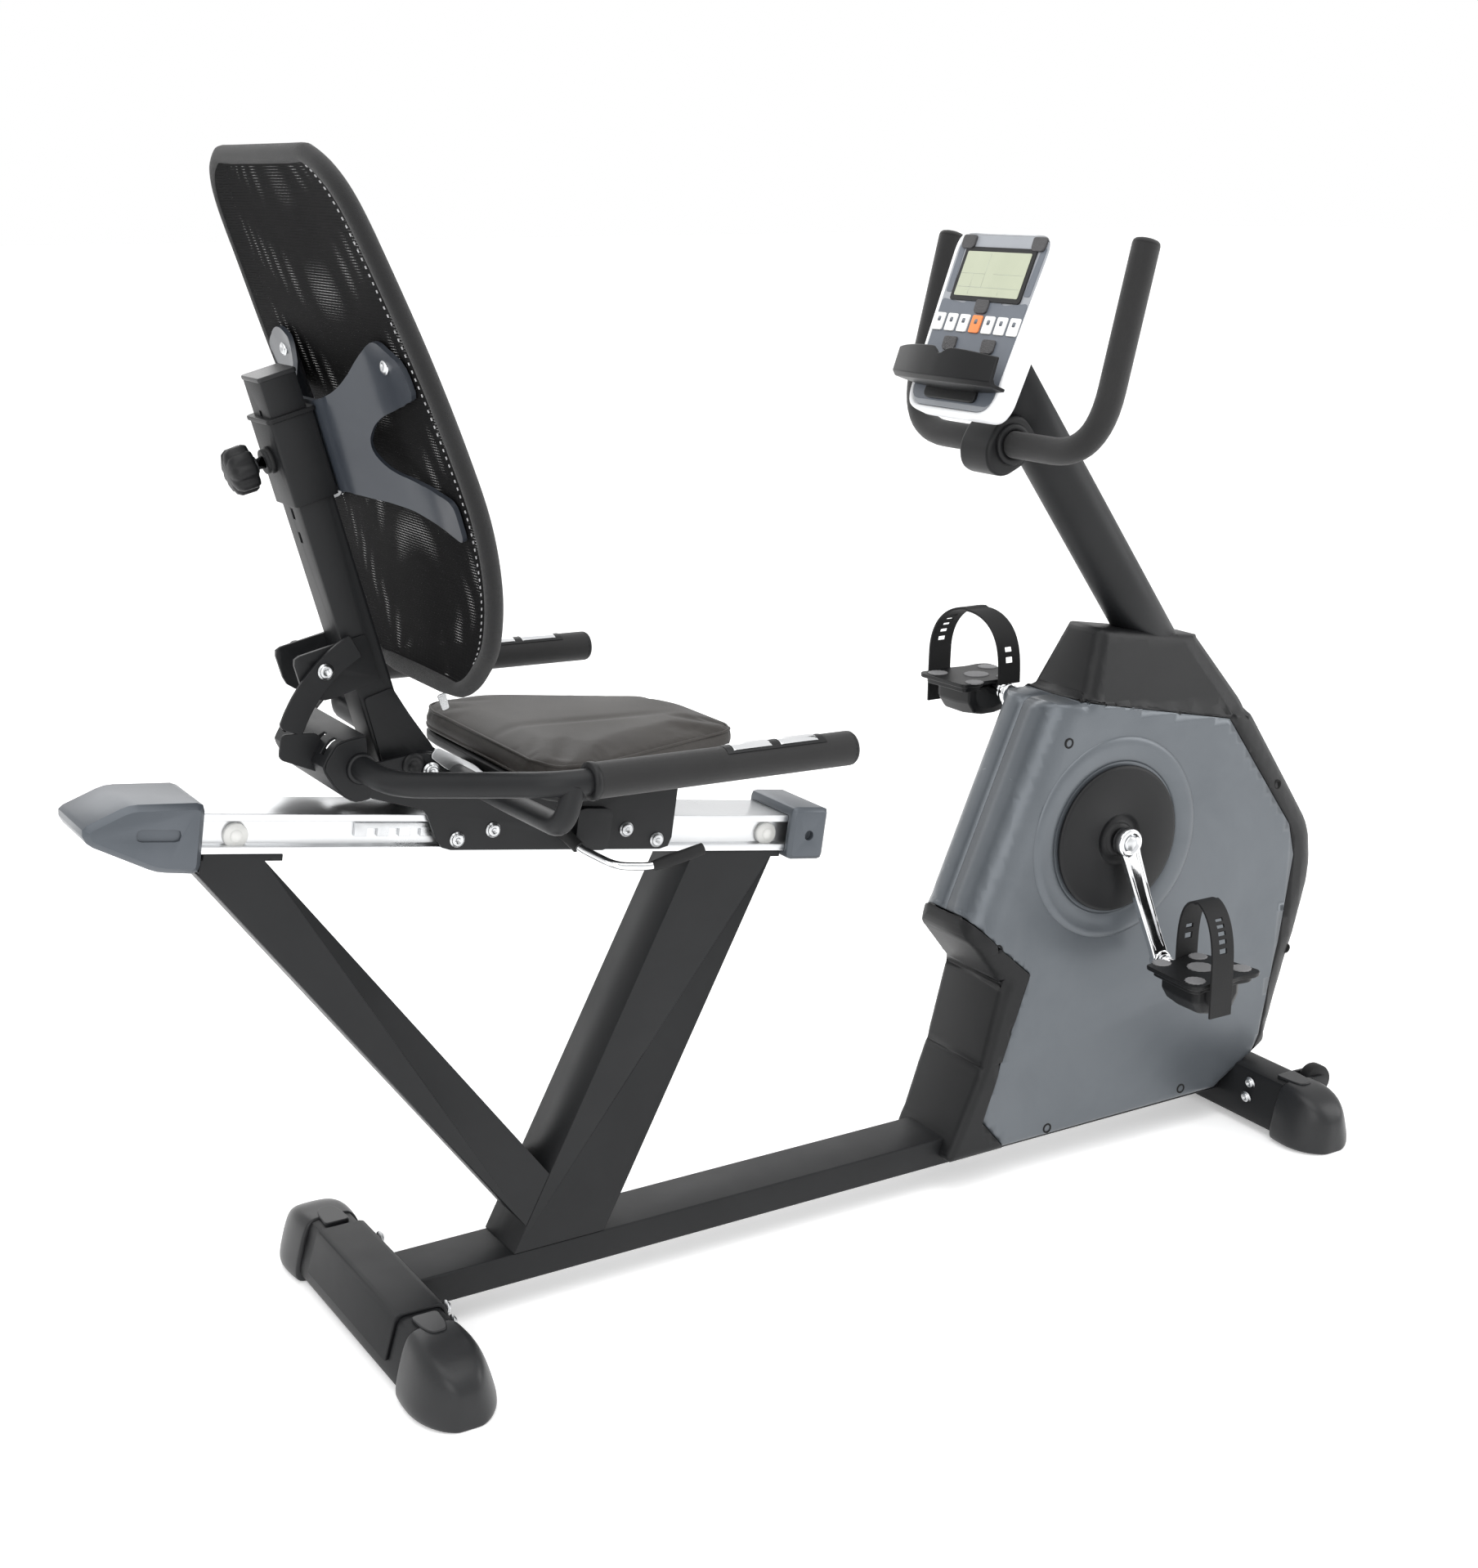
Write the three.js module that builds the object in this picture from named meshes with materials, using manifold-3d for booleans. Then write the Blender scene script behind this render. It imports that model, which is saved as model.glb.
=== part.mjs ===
// Recumbent exercise bike: a floor frame with a tilted seat rail, a sliding seat with a reclining
// mesh backrest and side grips, and a drive housing with pedals, flywheel, mast, bar and console.
// Millimetres. +X runs from the seat to the console, +Y to the rider's left, +Z up.
import * as THREE from "three";
import { mergeVertices } from "three/addons/utils/BufferGeometryUtils.js";
import Module from "manifold-3d";

const wasm = await Module();
wasm.setup();

// ---------------------------------------------------------------- driving sizes
const GAP = 0.3; // between pieces that rest on or sit in one another
const WALL = 3; // steel tubes and moulded shells

const FOOT_SPACING = 1288; // rear foot centre to front foot centre
const FOOT = { halfBottom: 42, halfTop: 25, bottom: 9, top: 77, beamHalf: 150 };
const REAR_FOOT_HALF = 248;
const FRONT_FOOT_HALF = 229;
const BASE = { half: 40, bottom: 34, top: 71 };
const SADDLE = { thick: 4, half: 118, lowest: 30 };
const WHEEL = { radius: 22, half: 11, y: 130, ahead: 56, height: 60, pin: 5 };

const RAIL_TILT = 8.8; // degrees, down towards the front
const RAIL_START = [-176, 655]; // the rail's top edge where it leaves the rear cap
const RAIL = { half: 40, height: 43, lip: 8, recess: 12, rear: -60, front: 748 };
const RAIL_PLATE = 7;
const RACK = { start: 165, end: 505, top: 11, bottom: 26, pitch: 25, notch: 12, deep: 9, thick: 5 };
const FRONT_STRUT = { footX: 210, angle: 61.6, depth: 104 };
const REAR_STRUT = { topX: -160, angle: -53.8, depth: 60 };

const CARRIAGE = { start: 260, end: 548, plate: 5, side: RAIL.half + 2, deck: 5, lift: 2, low: -38 };
const PIVOT = [66.7, 668.2]; // backrest hinge
const PIVOT_PIN = 8;
const SEAT = { x: 200, z: 646, tilt: 3.2, rear: -62, front: 235, rearHalf: 204, frontHalf: 78 };
const PAN_THICK = 13;
const CUSHION_THICK = 37;

const POST_LEAN = 15; // degrees back from upright
const POST = { half: 26, depth: 40, behind: 23.7, foot: 22, top: 442 };
const SLEEVE = { centre: 356, length: 90, clear: 0.5 };
const BACK_THICK = 24;
const HEIGHT_KNOB = { radius: 25, length: 26, shank: 6, stand: 22 };
const RECLINE_PIN = { radius: 5, x: -73.3, z: 142.6, knob: 17, knobLength: 20 };
const RECLINE_PLATE = { half: 27, high: 27, thick: 5 };

const ARM_TUBE = 12.5; // radius of the side-arm tube
const ARM_BRACKET = { half: 74 };
const GRIP = { radius: 18, y: 303, start: 128, end: 434, z: 709, endZ: 701 };

const HOUSING = { half: 64, wall: 3 };
const CRANK = { x: 1016, z: 448, length: 170, angle: -74, hub: HOUSING.half + 22, flare: 22, thick: 14 };
const DISC = { radius: 98, thick: 4, stand: 4 };
const RING = { radius: 135, raise: 4 };
const PULLEY = { radius: 110, y: 42, half: 8, small: 20 };
const FLYWHEEL = { x: 1150, z: 230, radius: 110, half: 8 };
const SPINDLE = 8.5;
const PEDAL = { half: 52, inner: CRANK.hub + 52, outer: CRANK.hub + 156, axle: 7 };
const STRAP = { thick: 3.5, half: 18, crown: 106, slant: 0.36, innerFoot: 9, outerFoot: -44 };
const INNER_PLATE = { in: 27, thick: 5 };

const MAST = { radius: 35, lowX: 1178.7, lowZ: 600, lean: 35.7 };
const BAR = { radius: 16.5, half: 186, rise: 250, lean: 14.2, along: 487, bend: 75 };
const CONSOLE = { x: 784, z: 1025, tilt: 22.4, topHalf: 96, lowHalf: 86, low: -25, top: 208 };
const FACE_THICK = 3;
const CONSOLE_DEPTH = 28;
const BUTTON = { half: 13, high: 9, stand: 2.5, depth: 4.5 };
const KEY = { count: 7, pitch: 25, half: 9.5, high: 9, z: 88 };
const DISPLAY = { half: 63, low: 121, high: 179 };

// ---------------------------------------------------------------- colours
const finish = (color, roughness, metalness) => ({ color, roughness, metalness });
const FRAME_BLACK = finish(0x26272a, 0.55, 0.4);
const TRIM_BLACK = finish(0x1d1e20, 0.6, 0);
const CAP_BLACK = finish(0x202224, 0.65, 0);
const SILVER_RAIL = finish(0xc9cbcc, 0.35, 0.9);
const STEEL = finish(0xb8babd, 0.3, 1);
const CHROME = finish(0xdadcdf, 0.12, 1);
const BLUE_GREY = finish(0x59616a, 0.45, 0.3);
const HOUSING_GREY = finish(0x6b7075, 0.45, 0.4);
const WHITE_SHELL = finish(0xe6e8ea, 0.4, 0);
const PANEL_GREY = finish(0x8a9097, 0.5, 0);
const LCD_GREEN = finish(0x9fa791, 0.3, 0);
const KEY_WHITE = finish(0xe8e8e6, 0.5, 0);
const CUSHION_BROWN = finish(0x4a4541, 0.85, 0);
const MESH_BLACK = finish(0x17181a, 0.9, 0);
const FOAM_BLACK = finish(0x2a2a2b, 0.9, 0);

// ---------------------------------------------------------------- solids
const X = new THREE.Vector3(1, 0, 0);
const Y = new THREE.Vector3(0, 1, 0);
const Z = new THREE.Vector3(0, 0, 1);
const rad = THREE.MathUtils.degToRad;

function solidOf(geometry) {
  const plain = geometry.clone();
  plain.deleteAttribute("normal");
  plain.deleteAttribute("uv");
  const merged = mergeVertices(plain, 1e-4);
  return new wasm.Manifold(
    new wasm.Mesh({
      numProp: 3,
      vertProperties: new Float32Array(merged.attributes.position.array),
      triVerts: new Uint32Array(merged.index.array),
    }),
  );
}

function geometryOf(solid) {
  const mesh = solid.getMesh();
  const geometry = new THREE.BufferGeometry();
  const count = mesh.numProp;
  const points = new Float32Array((mesh.vertProperties.length / count) * 3);
  for (let i = 0; i < points.length / 3; i++)
    for (let k = 0; k < 3; k++) points[3 * i + k] = mesh.vertProperties[count * i + k];
  geometry.setAttribute("position", new THREE.BufferAttribute(points, 3));
  geometry.setIndex([...mesh.triVerts]);
  const shaded = geometry.toNonIndexed();
  shaded.computeVertexNormals();
  return shaded;
}

const join = (...geometries) => geometries.map(solidOf).reduce((a, b) => a.add(b));
const cut = (solid, ...geometries) => geometries.map(solidOf).reduce((a, b) => a.subtract(b), solid);

// A closed outline with each corner rounded by its radius, corners given as [a, b] or [a, b, radius].
function outline(corners, radius = 0) {
  const shape = new THREE.Shape();
  corners.forEach(([a, b, own = radius], i) => {
    const here = new THREE.Vector2(a, b);
    const [pa, pb] = corners[(i + corners.length - 1) % corners.length];
    const [na, nb] = corners[(i + 1) % corners.length];
    const back = new THREE.Vector2(pa, pb).sub(here);
    const ahead = new THREE.Vector2(na, nb).sub(here);
    const reach = Math.min(own, back.length() * 0.45, ahead.length() * 0.45);
    const from = here.clone().addScaledVector(back.normalize(), reach);
    const to = here.clone().addScaledVector(ahead.normalize(), reach);
    if (i === 0) shape.moveTo(from.x, from.y);
    else shape.lineTo(from.x, from.y);
    if (reach > 0) shape.quadraticCurveTo(here.x, here.y, to.x, to.y);
  });
  shape.closePath();
  return shape;
}

const extrude = (shape, depth, segments, bevel = 0) =>
  new THREE.ExtrudeGeometry(shape, {
    depth: depth - 2 * bevel,
    curveSegments: segments,
    bevelEnabled: bevel > 0,
    bevelThickness: bevel,
    bevelSize: bevel,
    bevelOffset: -bevel,
    bevelSegments: 1,
  }).translate(0, 0, bevel);

// Outlines in the X-Z plane, run along Y.
function alongY(shape, low, high, segments = 2, bevel = 0) {
  return extrude(shape, high - low, segments, bevel).rotateX(Math.PI / 2).translate(0, high, 0);
}
// Outlines in the Y-Z plane, run along X.
function alongX(shape, low, high, segments = 2, bevel = 0) {
  const turn = new THREE.Matrix4().makeBasis(Y, Z, X);
  return extrude(shape, high - low, segments, bevel).applyMatrix4(turn).translate(low, 0, 0);
}
// Outlines in the X-Y plane, run along Z.
const alongZ = (shape, low, high, segments = 2, bevel = 0) =>
  extrude(shape, high - low, segments, bevel).translate(0, 0, low);

const block = (x0, x1, y0, y1, z0, z1) =>
  new THREE.BoxGeometry(x1 - x0, y1 - y0, z1 - z0).translate((x0 + x1) / 2, (y0 + y1) / 2, (z0 + z1) / 2);

function rod(from, to, radius, sides = 16, endRadius = radius) {
  const a = new THREE.Vector3(...from);
  const run = new THREE.Vector3(...to).sub(a);
  const bar = new THREE.CylinderGeometry(endRadius, radius, run.length(), sides);
  bar.translate(0, run.length() / 2, 0);
  bar.applyQuaternion(new THREE.Quaternion().setFromUnitVectors(Y, run.clone().normalize()));
  return bar.translate(a.x, a.y, a.z);
}

// A round bar through points [x, y, z] or [x, y, z, bend], each inner corner bent over that reach.
function bentBar(points, radius, bend, steps = 36, sides = 12) {
  const corners = points.map(([x, y, z]) => new THREE.Vector3(x, y, z));
  const path = new THREE.CurvePath();
  let start = corners[0];
  for (let i = 1; i < corners.length - 1; i++) {
    const back = corners[i - 1].clone().sub(corners[i]);
    const ahead = corners[i + 1].clone().sub(corners[i]);
    const reach = Math.min(points[i][3] ?? bend, back.length() * 0.45, ahead.length() * 0.45);
    const from = corners[i].clone().addScaledVector(back.normalize(), reach);
    const to = corners[i].clone().addScaledVector(ahead.normalize(), reach);
    path.add(new THREE.LineCurve3(start, from));
    path.add(new THREE.QuadraticBezierCurve3(from, corners[i], to));
    start = to;
  }
  path.add(new THREE.LineCurve3(start, corners.at(-1)));
  const section = new THREE.Shape().absarc(0, 0, radius, 0, 2 * Math.PI);
  return new THREE.ExtrudeGeometry(section, {
    steps,
    extrudePath: path,
    curveSegments: sides / 2,
  });
}

// The volume inside a closed set of triangles, below zero when they face in.
function volumeOf(points, faces) {
  let volume = 0;
  for (let i = 0; i < faces.length; i += 3) {
    const [a, b, c] = [0, 1, 2].map((k) => new THREE.Vector3(...points[faces[i + k]]));
    volume += a.dot(b.cross(c)) / 6;
  }
  return volume;
}

// A closed body through rings of points, all of the same count, with flat ends.
function loft(rings) {
  const count = rings[0].length;
  const points = rings.flat();
  const faces = [];
  for (let r = 0; r + 1 < rings.length; r++)
    for (let i = 0; i < count; i++) {
      const a = r * count + i;
      const b = r * count + ((i + 1) % count);
      faces.push(a, b, b + count, a, b + count, a + count);
    }
  const last = (rings.length - 1) * count;
  for (let i = 1; i + 1 < count; i++) faces.push(0, i + 1, i, last, last + i, last + i + 1);
  if (volumeOf(points, faces) < 0) faces.reverse();
  const geometry = new THREE.BufferGeometry();
  geometry.setAttribute("position", new THREE.Float32BufferAttribute(points.flat(), 3));
  geometry.setIndex(faces);
  const shaded = geometry.toNonIndexed();
  shaded.computeVertexNormals();
  return shaded;
}

// The inside of an outline, moved in by a wall.
function inset(corners, wall) {
  const turn = corners.reduce((sum, [a, b], i) => {
    const [c, d] = corners[(i + 1) % corners.length];
    return sum + a * d - c * b;
  }, 0);
  const sign = Math.sign(turn);
  return corners.map(([a, b], i) => {
    const [pa, pb] = corners[(i + corners.length - 1) % corners.length];
    const [na, nb] = corners[(i + 1) % corners.length];
    const before = new THREE.Vector2(a - pa, b - pb).normalize();
    const after = new THREE.Vector2(na - a, nb - b).normalize();
    const normal = new THREE.Vector2(-before.y - after.y, before.x + after.x);
    const scale = (sign * wall * 2) / normal.lengthSq();
    return [a + normal.x * scale, b + normal.y * scale];
  });
}

const bike = new THREE.Group();
function piece(name, shape, look, parent = bike) {
  const geometry = shape.isBufferGeometry ? shape : geometryOf(shape);
  const mesh = new THREE.Mesh(geometry, new THREE.MeshStandardMaterial(look));
  mesh.name = name;
  parent.add(mesh);
  return mesh;
}
const sides = [
  { name: "right", y: -1 },
  { name: "left", y: 1 },
];

// ---------------------------------------------------------------- tilted frames
const rail = new THREE.Group();
rail.position.set(RAIL_START[0], 0, RAIL_START[1]);
rail.rotation.y = rad(RAIL_TILT);
bike.add(rail);
function onRail(x, z) {
  const [dx, dz] = [x - RAIL_START[0], z - RAIL_START[1]];
  const [c, s] = [Math.cos(rad(RAIL_TILT)), Math.sin(rad(RAIL_TILT))];
  return [dx * c - dz * s, dx * s + dz * c];
}
function offRail(u, w) {
  const [c, s] = [Math.cos(rad(RAIL_TILT)), Math.sin(rad(RAIL_TILT))];
  return [RAIL_START[0] + u * c + w * s, RAIL_START[1] - u * s + w * c];
}
const pivotOnRail = onRail(...PIVOT);

// ---------------------------------------------------------------- feet
// A foot's section across X: wide at the bottom, narrow at the top.
function footSection(centre, grow = 0, lowest = FOOT.bottom - grow) {
  const high = FOOT.top + grow;
  return [
    [centre - FOOT.halfBottom - grow, lowest],
    [centre + FOOT.halfBottom + grow, lowest],
    [centre + FOOT.halfBottom + grow, 22],
    [centre + FOOT.halfTop + grow, high],
    [centre - FOOT.halfTop - grow, high],
    [centre - FOOT.halfBottom - grow, 22],
  ];
}
const footFace = (height, grow) =>
  FOOT.halfBottom + grow - ((height - 22) * (FOOT.halfBottom - FOOT.halfTop)) / (FOOT.top + grow - 22);

function footBeam(name, centre, extras = []) {
  const outer = alongY(outline(footSection(centre), 7), -FOOT.beamHalf, FOOT.beamHalf);
  const inner = alongY(outline(inset(footSection(centre), WALL), 5), -FOOT.beamHalf - 1, FOOT.beamHalf + 1);
  piece(name, cut(join(outer, ...extras), inner), FRAME_BLACK);
}

// An end cap reaches the floor and rounds off towards its end.
function footCap(centre, side, endHalf) {
  const start = FOOT.beamHalf + GAP;
  const length = endHalf - start;
  const shares = [
    [0, 1],
    [0.45, 1.04],
    [0.72, 1],
    [0.9, 0.84],
    [1, 0.56],
  ];
  const section = outline(footSection(centre, 3, 0), 10).getPoints(3).slice(0, -1);
  const rings = shares.map(([share, size]) =>
    section.map((p) => [
      centre + (p.x - centre) * size,
      side * (start + length * share),
      p.y * Math.min(1, 0.3 + 0.7 * size),
    ]),
  );
  return loft(rings);
}

footBeam("rear_foot", 0);
const saddleOuter = alongY(outline(footSection(0, GAP + SADDLE.thick), 7), -SADDLE.half, SADDLE.half);
const saddleInner = alongY(outline(footSection(0, GAP), 7), -SADDLE.half - 1, SADDLE.half + 1);
const belowSaddle = block(-99, 99, -SADDLE.half - 1, SADDLE.half + 1, -9, SADDLE.lowest);
piece("rear_saddle", cut(solidOf(saddleOuter), saddleInner, belowSaddle), FRAME_BLACK);
for (const { name, y } of sides)
  piece(`rear_foot_cap_${name}`, footCap(0, y, REAR_FOOT_HALF), CAP_BLACK);

// ---------------------------------------------------------------- transport wheels
const wheelX = FOOT_SPACING + WHEEL.ahead;
const forkSide = [
  [FOOT_SPACING + footFace(36, -1), 36],
  [wheelX + 6, WHEEL.height - 11],
  [wheelX + 11, WHEEL.height],
  [wheelX + 4, WHEEL.height + 11],
  [FOOT_SPACING + footFace(72, -1), 72],
];
const forkIn = WHEEL.half + 1;
const forkThick = 5;
const forks = sides.flatMap(({ y }) => {
  const middle = y * WHEEL.y;
  const ear = (low) => alongY(outline(forkSide, 5), low, low + forkThick);
  return [
    ear(middle - forkIn - forkThick),
    ear(middle + forkIn),
    rod([wheelX, middle - forkIn - 4, WHEEL.height], [wheelX, middle + forkIn + 4, WHEEL.height], WHEEL.pin),
  ];
});
footBeam("front_foot", FOOT_SPACING, forks);
for (const { name, y } of sides) {
  piece(`front_foot_cap_${name}`, footCap(FOOT_SPACING, y, FRONT_FOOT_HALF), CAP_BLACK);
  const tyre = new THREE.LatheGeometry(
    [
      [WHEEL.pin + GAP, -WHEEL.half],
      [WHEEL.radius - 3, -WHEEL.half],
      [WHEEL.radius, -WHEEL.half + 4],
      [WHEEL.radius, WHEEL.half - 4],
      [WHEEL.radius - 3, WHEEL.half],
      [WHEEL.pin + GAP, WHEEL.half],
      [WHEEL.pin + GAP, -WHEEL.half],
    ].map(([r, h]) => new THREE.Vector2(r, h)),
    20,
  );
  const wheel = piece(`transport_wheel_${name}`, solidOf(tyre), CAP_BLACK);
  wheel.position.set(wheelX, y * WHEEL.y, WHEEL.height);
}

// ---------------------------------------------------------------- base tube and struts
const baseRear = (z) => footFace(z, GAP + SADDLE.thick) + GAP;
const baseFront = (z) => FOOT_SPACING - footFace(z, 0) - GAP;
const baseSide = [
  [baseRear(BASE.bottom), BASE.bottom],
  [baseFront(BASE.bottom), BASE.bottom],
  [baseFront(BASE.top), BASE.top],
  [baseRear(BASE.top), BASE.top],
];
const baseHollow = alongX(
  outline(
    [
      [-BASE.half + WALL, BASE.bottom + WALL],
      [BASE.half - WALL, BASE.bottom + WALL],
      [BASE.half - WALL, BASE.top - WALL],
      [-BASE.half + WALL, BASE.top - WALL],
    ],
    3,
  ),
  0,
  FOOT_SPACING,
);
piece("base_tube", cut(solidOf(alongY(outline(baseSide), -BASE.half, BASE.half)), baseHollow), FRAME_BLACK);

// Where a line from a point at an angle meets the line z = height + slope * x.
function meet([x, z], angle, slope, height) {
  const [dx, dz] = [Math.cos(rad(angle)), Math.sin(rad(angle))];
  const t = (height + slope * x - z) / (dz - slope * dx);
  return [x + dx * t, z + dz * t];
}
// The two long edges of a strut, as points on its centre line moved sideways.
function edges([x, z], angle, depth) {
  const [nx, nz] = [-Math.sin(rad(angle)), Math.cos(rad(angle))];
  return [1, -1].map((s) => [x + (s * nx * depth) / 2, z + (s * nz * depth) / 2]);
}
const underRail = -RAIL.height - GAP - RAIL_PLATE;
const railSlope = -Math.tan(rad(RAIL_TILT));
const plateBase = offRail(0, underRail)[1] - railSlope * offRail(0, underRail)[0];

const frontFoot = [FRONT_STRUT.footX, BASE.top + GAP];
const [frontBack, frontAhead] = edges(frontFoot, FRONT_STRUT.angle, FRONT_STRUT.depth);
const strutFloor = BASE.top + GAP;
const frontOutline = [frontBack, frontAhead].map((p) => meet(p, FRONT_STRUT.angle, 0, strutFloor));
frontOutline.push(
  ...[frontAhead, frontBack].map((p) => meet(p, FRONT_STRUT.angle, railSlope, plateBase + 1)),
);

function strut(name, corners, angle, depth, centre, plateStart, plateEnd) {
  const body = solidOf(alongY(outline(corners), -RAIL.half, RAIL.half));
  const [high, low] = edges(centre, angle, depth - 2 * WALL);
  const run = 900;
  const [dx, dz] = [Math.cos(rad(angle)) * run, Math.sin(rad(angle)) * run];
  const hollow = [
    [high[0] - dx, high[1] - dz],
    [low[0] - dx, low[1] - dz],
    [low[0] + dx, low[1] + dz],
    [high[0] + dx, high[1] + dz],
  ];
  const inner = alongY(outline(hollow), -RAIL.half + WALL, RAIL.half - WALL);
  const plate = block(plateStart, plateEnd, -RAIL.half, RAIL.half, underRail, underRail + RAIL_PLATE);
  plate.rotateY(rad(RAIL_TILT)).translate(RAIL_START[0], 0, RAIL_START[1]);
  return { name, solid: body.subtract(solidOf(inner)).add(solidOf(plate)) };
}
const frontTopU = onRail(...frontOutline[3])[0];
const frontStrut = strut(
  "front_strut",
  frontOutline,
  FRONT_STRUT.angle,
  FRONT_STRUT.depth,
  frontFoot,
  frontTopU - 6,
  Math.min(onRail(...frontOutline[2])[0] + 12, RAIL.front - 42),
);
piece(frontStrut.name, frontStrut.solid, FRAME_BLACK);

const rearTop = [REAR_STRUT.topX, plateBase + railSlope * REAR_STRUT.topX];
const [rearAhead, rearBack] = edges(rearTop, REAR_STRUT.angle, REAR_STRUT.depth);
// The front strut's rear face, as a line z = height + slope * x, moved back by the gap.
const faceSlope = Math.tan(rad(FRONT_STRUT.angle));
const faceHeight = frontBack[1] - faceSlope * (frontBack[0] - 2 * GAP);
const rearOutline = [rearBack, rearAhead].map((p) => meet(p, REAR_STRUT.angle, faceSlope, faceHeight));
rearOutline.push(...[rearAhead, rearBack].map((p) => meet(p, REAR_STRUT.angle, railSlope, plateBase + 1)));
const rearStrut = strut(
  "rear_strut",
  rearOutline,
  REAR_STRUT.angle,
  REAR_STRUT.depth,
  rearTop,
  0,
  onRail(...rearOutline[2])[0] + 20,
);
const belowStrut = block(-900, 900, -99, 99, -900, BASE.top + GAP);
const capRoom = block(-200, -2, -99, 99, -66, 30);
capRoom.rotateY(rad(RAIL_TILT)).translate(RAIL_START[0], 0, RAIL_START[1]);
piece(rearStrut.name, cut(rearStrut.solid, belowStrut, capRoom), FRAME_BLACK);

// ---------------------------------------------------------------- seat rail and its caps
const lipLow = -RAIL.height + RAIL.lip;
const web = RAIL.half - RAIL.recess;
const railSection = [
  [-RAIL.half, -RAIL.height],
  [RAIL.half, -RAIL.height],
  [RAIL.half, lipLow],
  [web, lipLow],
  [web, -RAIL.lip],
  [RAIL.half, -RAIL.lip],
  [RAIL.half, 0],
  [-RAIL.half, 0],
  [-RAIL.half, -RAIL.lip],
  [-web, -RAIL.lip],
  [-web, lipLow],
  [-RAIL.half, lipLow],
];
const railCore = outline(
  [
    [-web + WALL, -RAIL.height + WALL],
    [web - WALL, -RAIL.height + WALL],
    [web - WALL, -WALL],
    [-web + WALL, -WALL],
  ],
  2,
);
const railBody = solidOf(alongX(outline(railSection), RAIL.rear, RAIL.front));
piece("seat_rail", cut(railBody, alongX(railCore, RAIL.rear - 1, RAIL.front + 1)), SILVER_RAIL, rail);

const railRoom = (from, to) =>
  block(from, to, -RAIL.half - GAP, RAIL.half + GAP, -RAIL.height - GAP, GAP);
const rearCap = [
  [-4, 13],
  [-82, 10],
  [-129, -15],
  [-122, -31],
  [-49, -60],
  [-4, -62],
];
const capHalf = RAIL.half + 11;
piece(
  "rail_rear_cap",
  cut(
    solidOf(alongY(outline(rearCap, 9), -capHalf, capHalf, 2, 6)),
    railRoom(RAIL.rear - GAP, 40),
    alongY(outline([[-74, -27], [-28, -27], [-28, -14], [-74, -14]], 6), -capHalf - 1, -capHalf + 4),
    alongY(outline([[-74, -27], [-28, -27], [-28, -14], [-74, -14]], 6), capHalf - 4, capHalf + 1),
  ),
  BLUE_GREY,
  rail,
);
const frontCap = [
  [RAIL.front - 38, 12],
  [RAIL.front + 13, 12],
  [RAIL.front + 13, -52],
  [RAIL.front - 38, -52],
];
piece(
  "rail_front_cap",
  cut(
    solidOf(alongY(outline(frontCap, 7), -capHalf, capHalf, 2, 5)),
    railRoom(RAIL.front - 90, RAIL.front + GAP),
    rod([RAIL.front - 12, -capHalf - 1, -22], [RAIL.front - 12, -capHalf + 8, -22], 6),
    rod([RAIL.front - 12, capHalf - 8, -22], [RAIL.front - 12, capHalf + 1, -22], 6),
  ),
  BLUE_GREY,
  rail,
);

// The latch rack lies in the right-hand recess, with notches open at the bottom.
const rackCorners = [
  [RACK.end, -RACK.top],
  [RACK.start, -RACK.top],
  [RACK.start, -RACK.bottom],
];
const notches = Math.floor((RACK.end - RACK.start - 14) / RACK.pitch);
for (let i = 0; i < notches; i++) {
  const from = RACK.start + 14 + i * RACK.pitch;
  rackCorners.push(
    [from, -RACK.bottom],
    [from, -RACK.bottom + RACK.deep],
    [from + RACK.notch, -RACK.bottom + RACK.deep],
    [from + RACK.notch, -RACK.bottom],
  );
}
rackCorners.push([RACK.end, -RACK.bottom]);
const rackFace = -web - GAP;
piece("latch_rack", alongY(outline(rackCorners), rackFace - RACK.thick, rackFace), STEEL, rail);

// ---------------------------------------------------------------- seat carriage
const seat = new THREE.Group();
seat.position.set(SEAT.x, 0, SEAT.z);
seat.rotation.y = rad(SEAT.tilt);
bike.add(seat);
// The pan's underside as a line across the rail's frame.
const panAt = onRail(SEAT.x, SEAT.z);
const panSlope = Math.tan(rad(RAIL_TILT - SEAT.tilt));
const underPan = (u) => panAt[1] + (u - panAt[0]) * panSlope - GAP;
const lugU = pivotOnRail[0];
const lugW = pivotOnRail[1];
const panRear = onRail(SEAT.x + SEAT.rear, SEAT.z)[0] - 4;
const sidePlate = [
  [CARRIAGE.start, CARRIAGE.low, 12],
  [CARRIAGE.end, CARRIAGE.low, 14],
  [CARRIAGE.end, underPan(CARRIAGE.end), 0],
  [panRear, underPan(panRear), 0],
  [lugU + 44, lugW + 6, 8],
  [lugU + 18, lugW + 18, 10],
  [lugU - 18, lugW + 18, 12],
  [lugU - 73, lugW + 4, 4],
  [lugU - 71, lugW - 30, 8],
  [lugU, 6, 6],
];
const plates = sides.map(({ y }) => {
  const near = y * CARRIAGE.side;
  const far = y * (CARRIAGE.side + CARRIAGE.plate);
  return alongY(outline(sidePlate, 8), Math.min(near, far), Math.max(near, far));
});
const carriageOut = CARRIAGE.side + CARRIAGE.plate;
const deck = block(
  CARRIAGE.start + 14,
  CARRIAGE.end - 6,
  -CARRIAGE.side - 1,
  CARRIAGE.side + 1,
  CARRIAGE.lift,
  CARRIAGE.lift + CARRIAGE.deck,
);
const hingePin = rod([lugU, -carriageOut - 4, lugW], [lugU, carriageOut + 4, lugW], PIVOT_PIN, 20);
const LEVER_PIVOT = [398.6, -14.5];
const LEVER_PIN = 4;
const leverPin = (radius, extra) =>
  rod(
    [LEVER_PIVOT[0], -carriageOut - 12 - extra, LEVER_PIVOT[1]],
    [LEVER_PIVOT[0], -carriageOut + 1, LEVER_PIVOT[1]],
    radius,
    20,
  );
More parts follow.
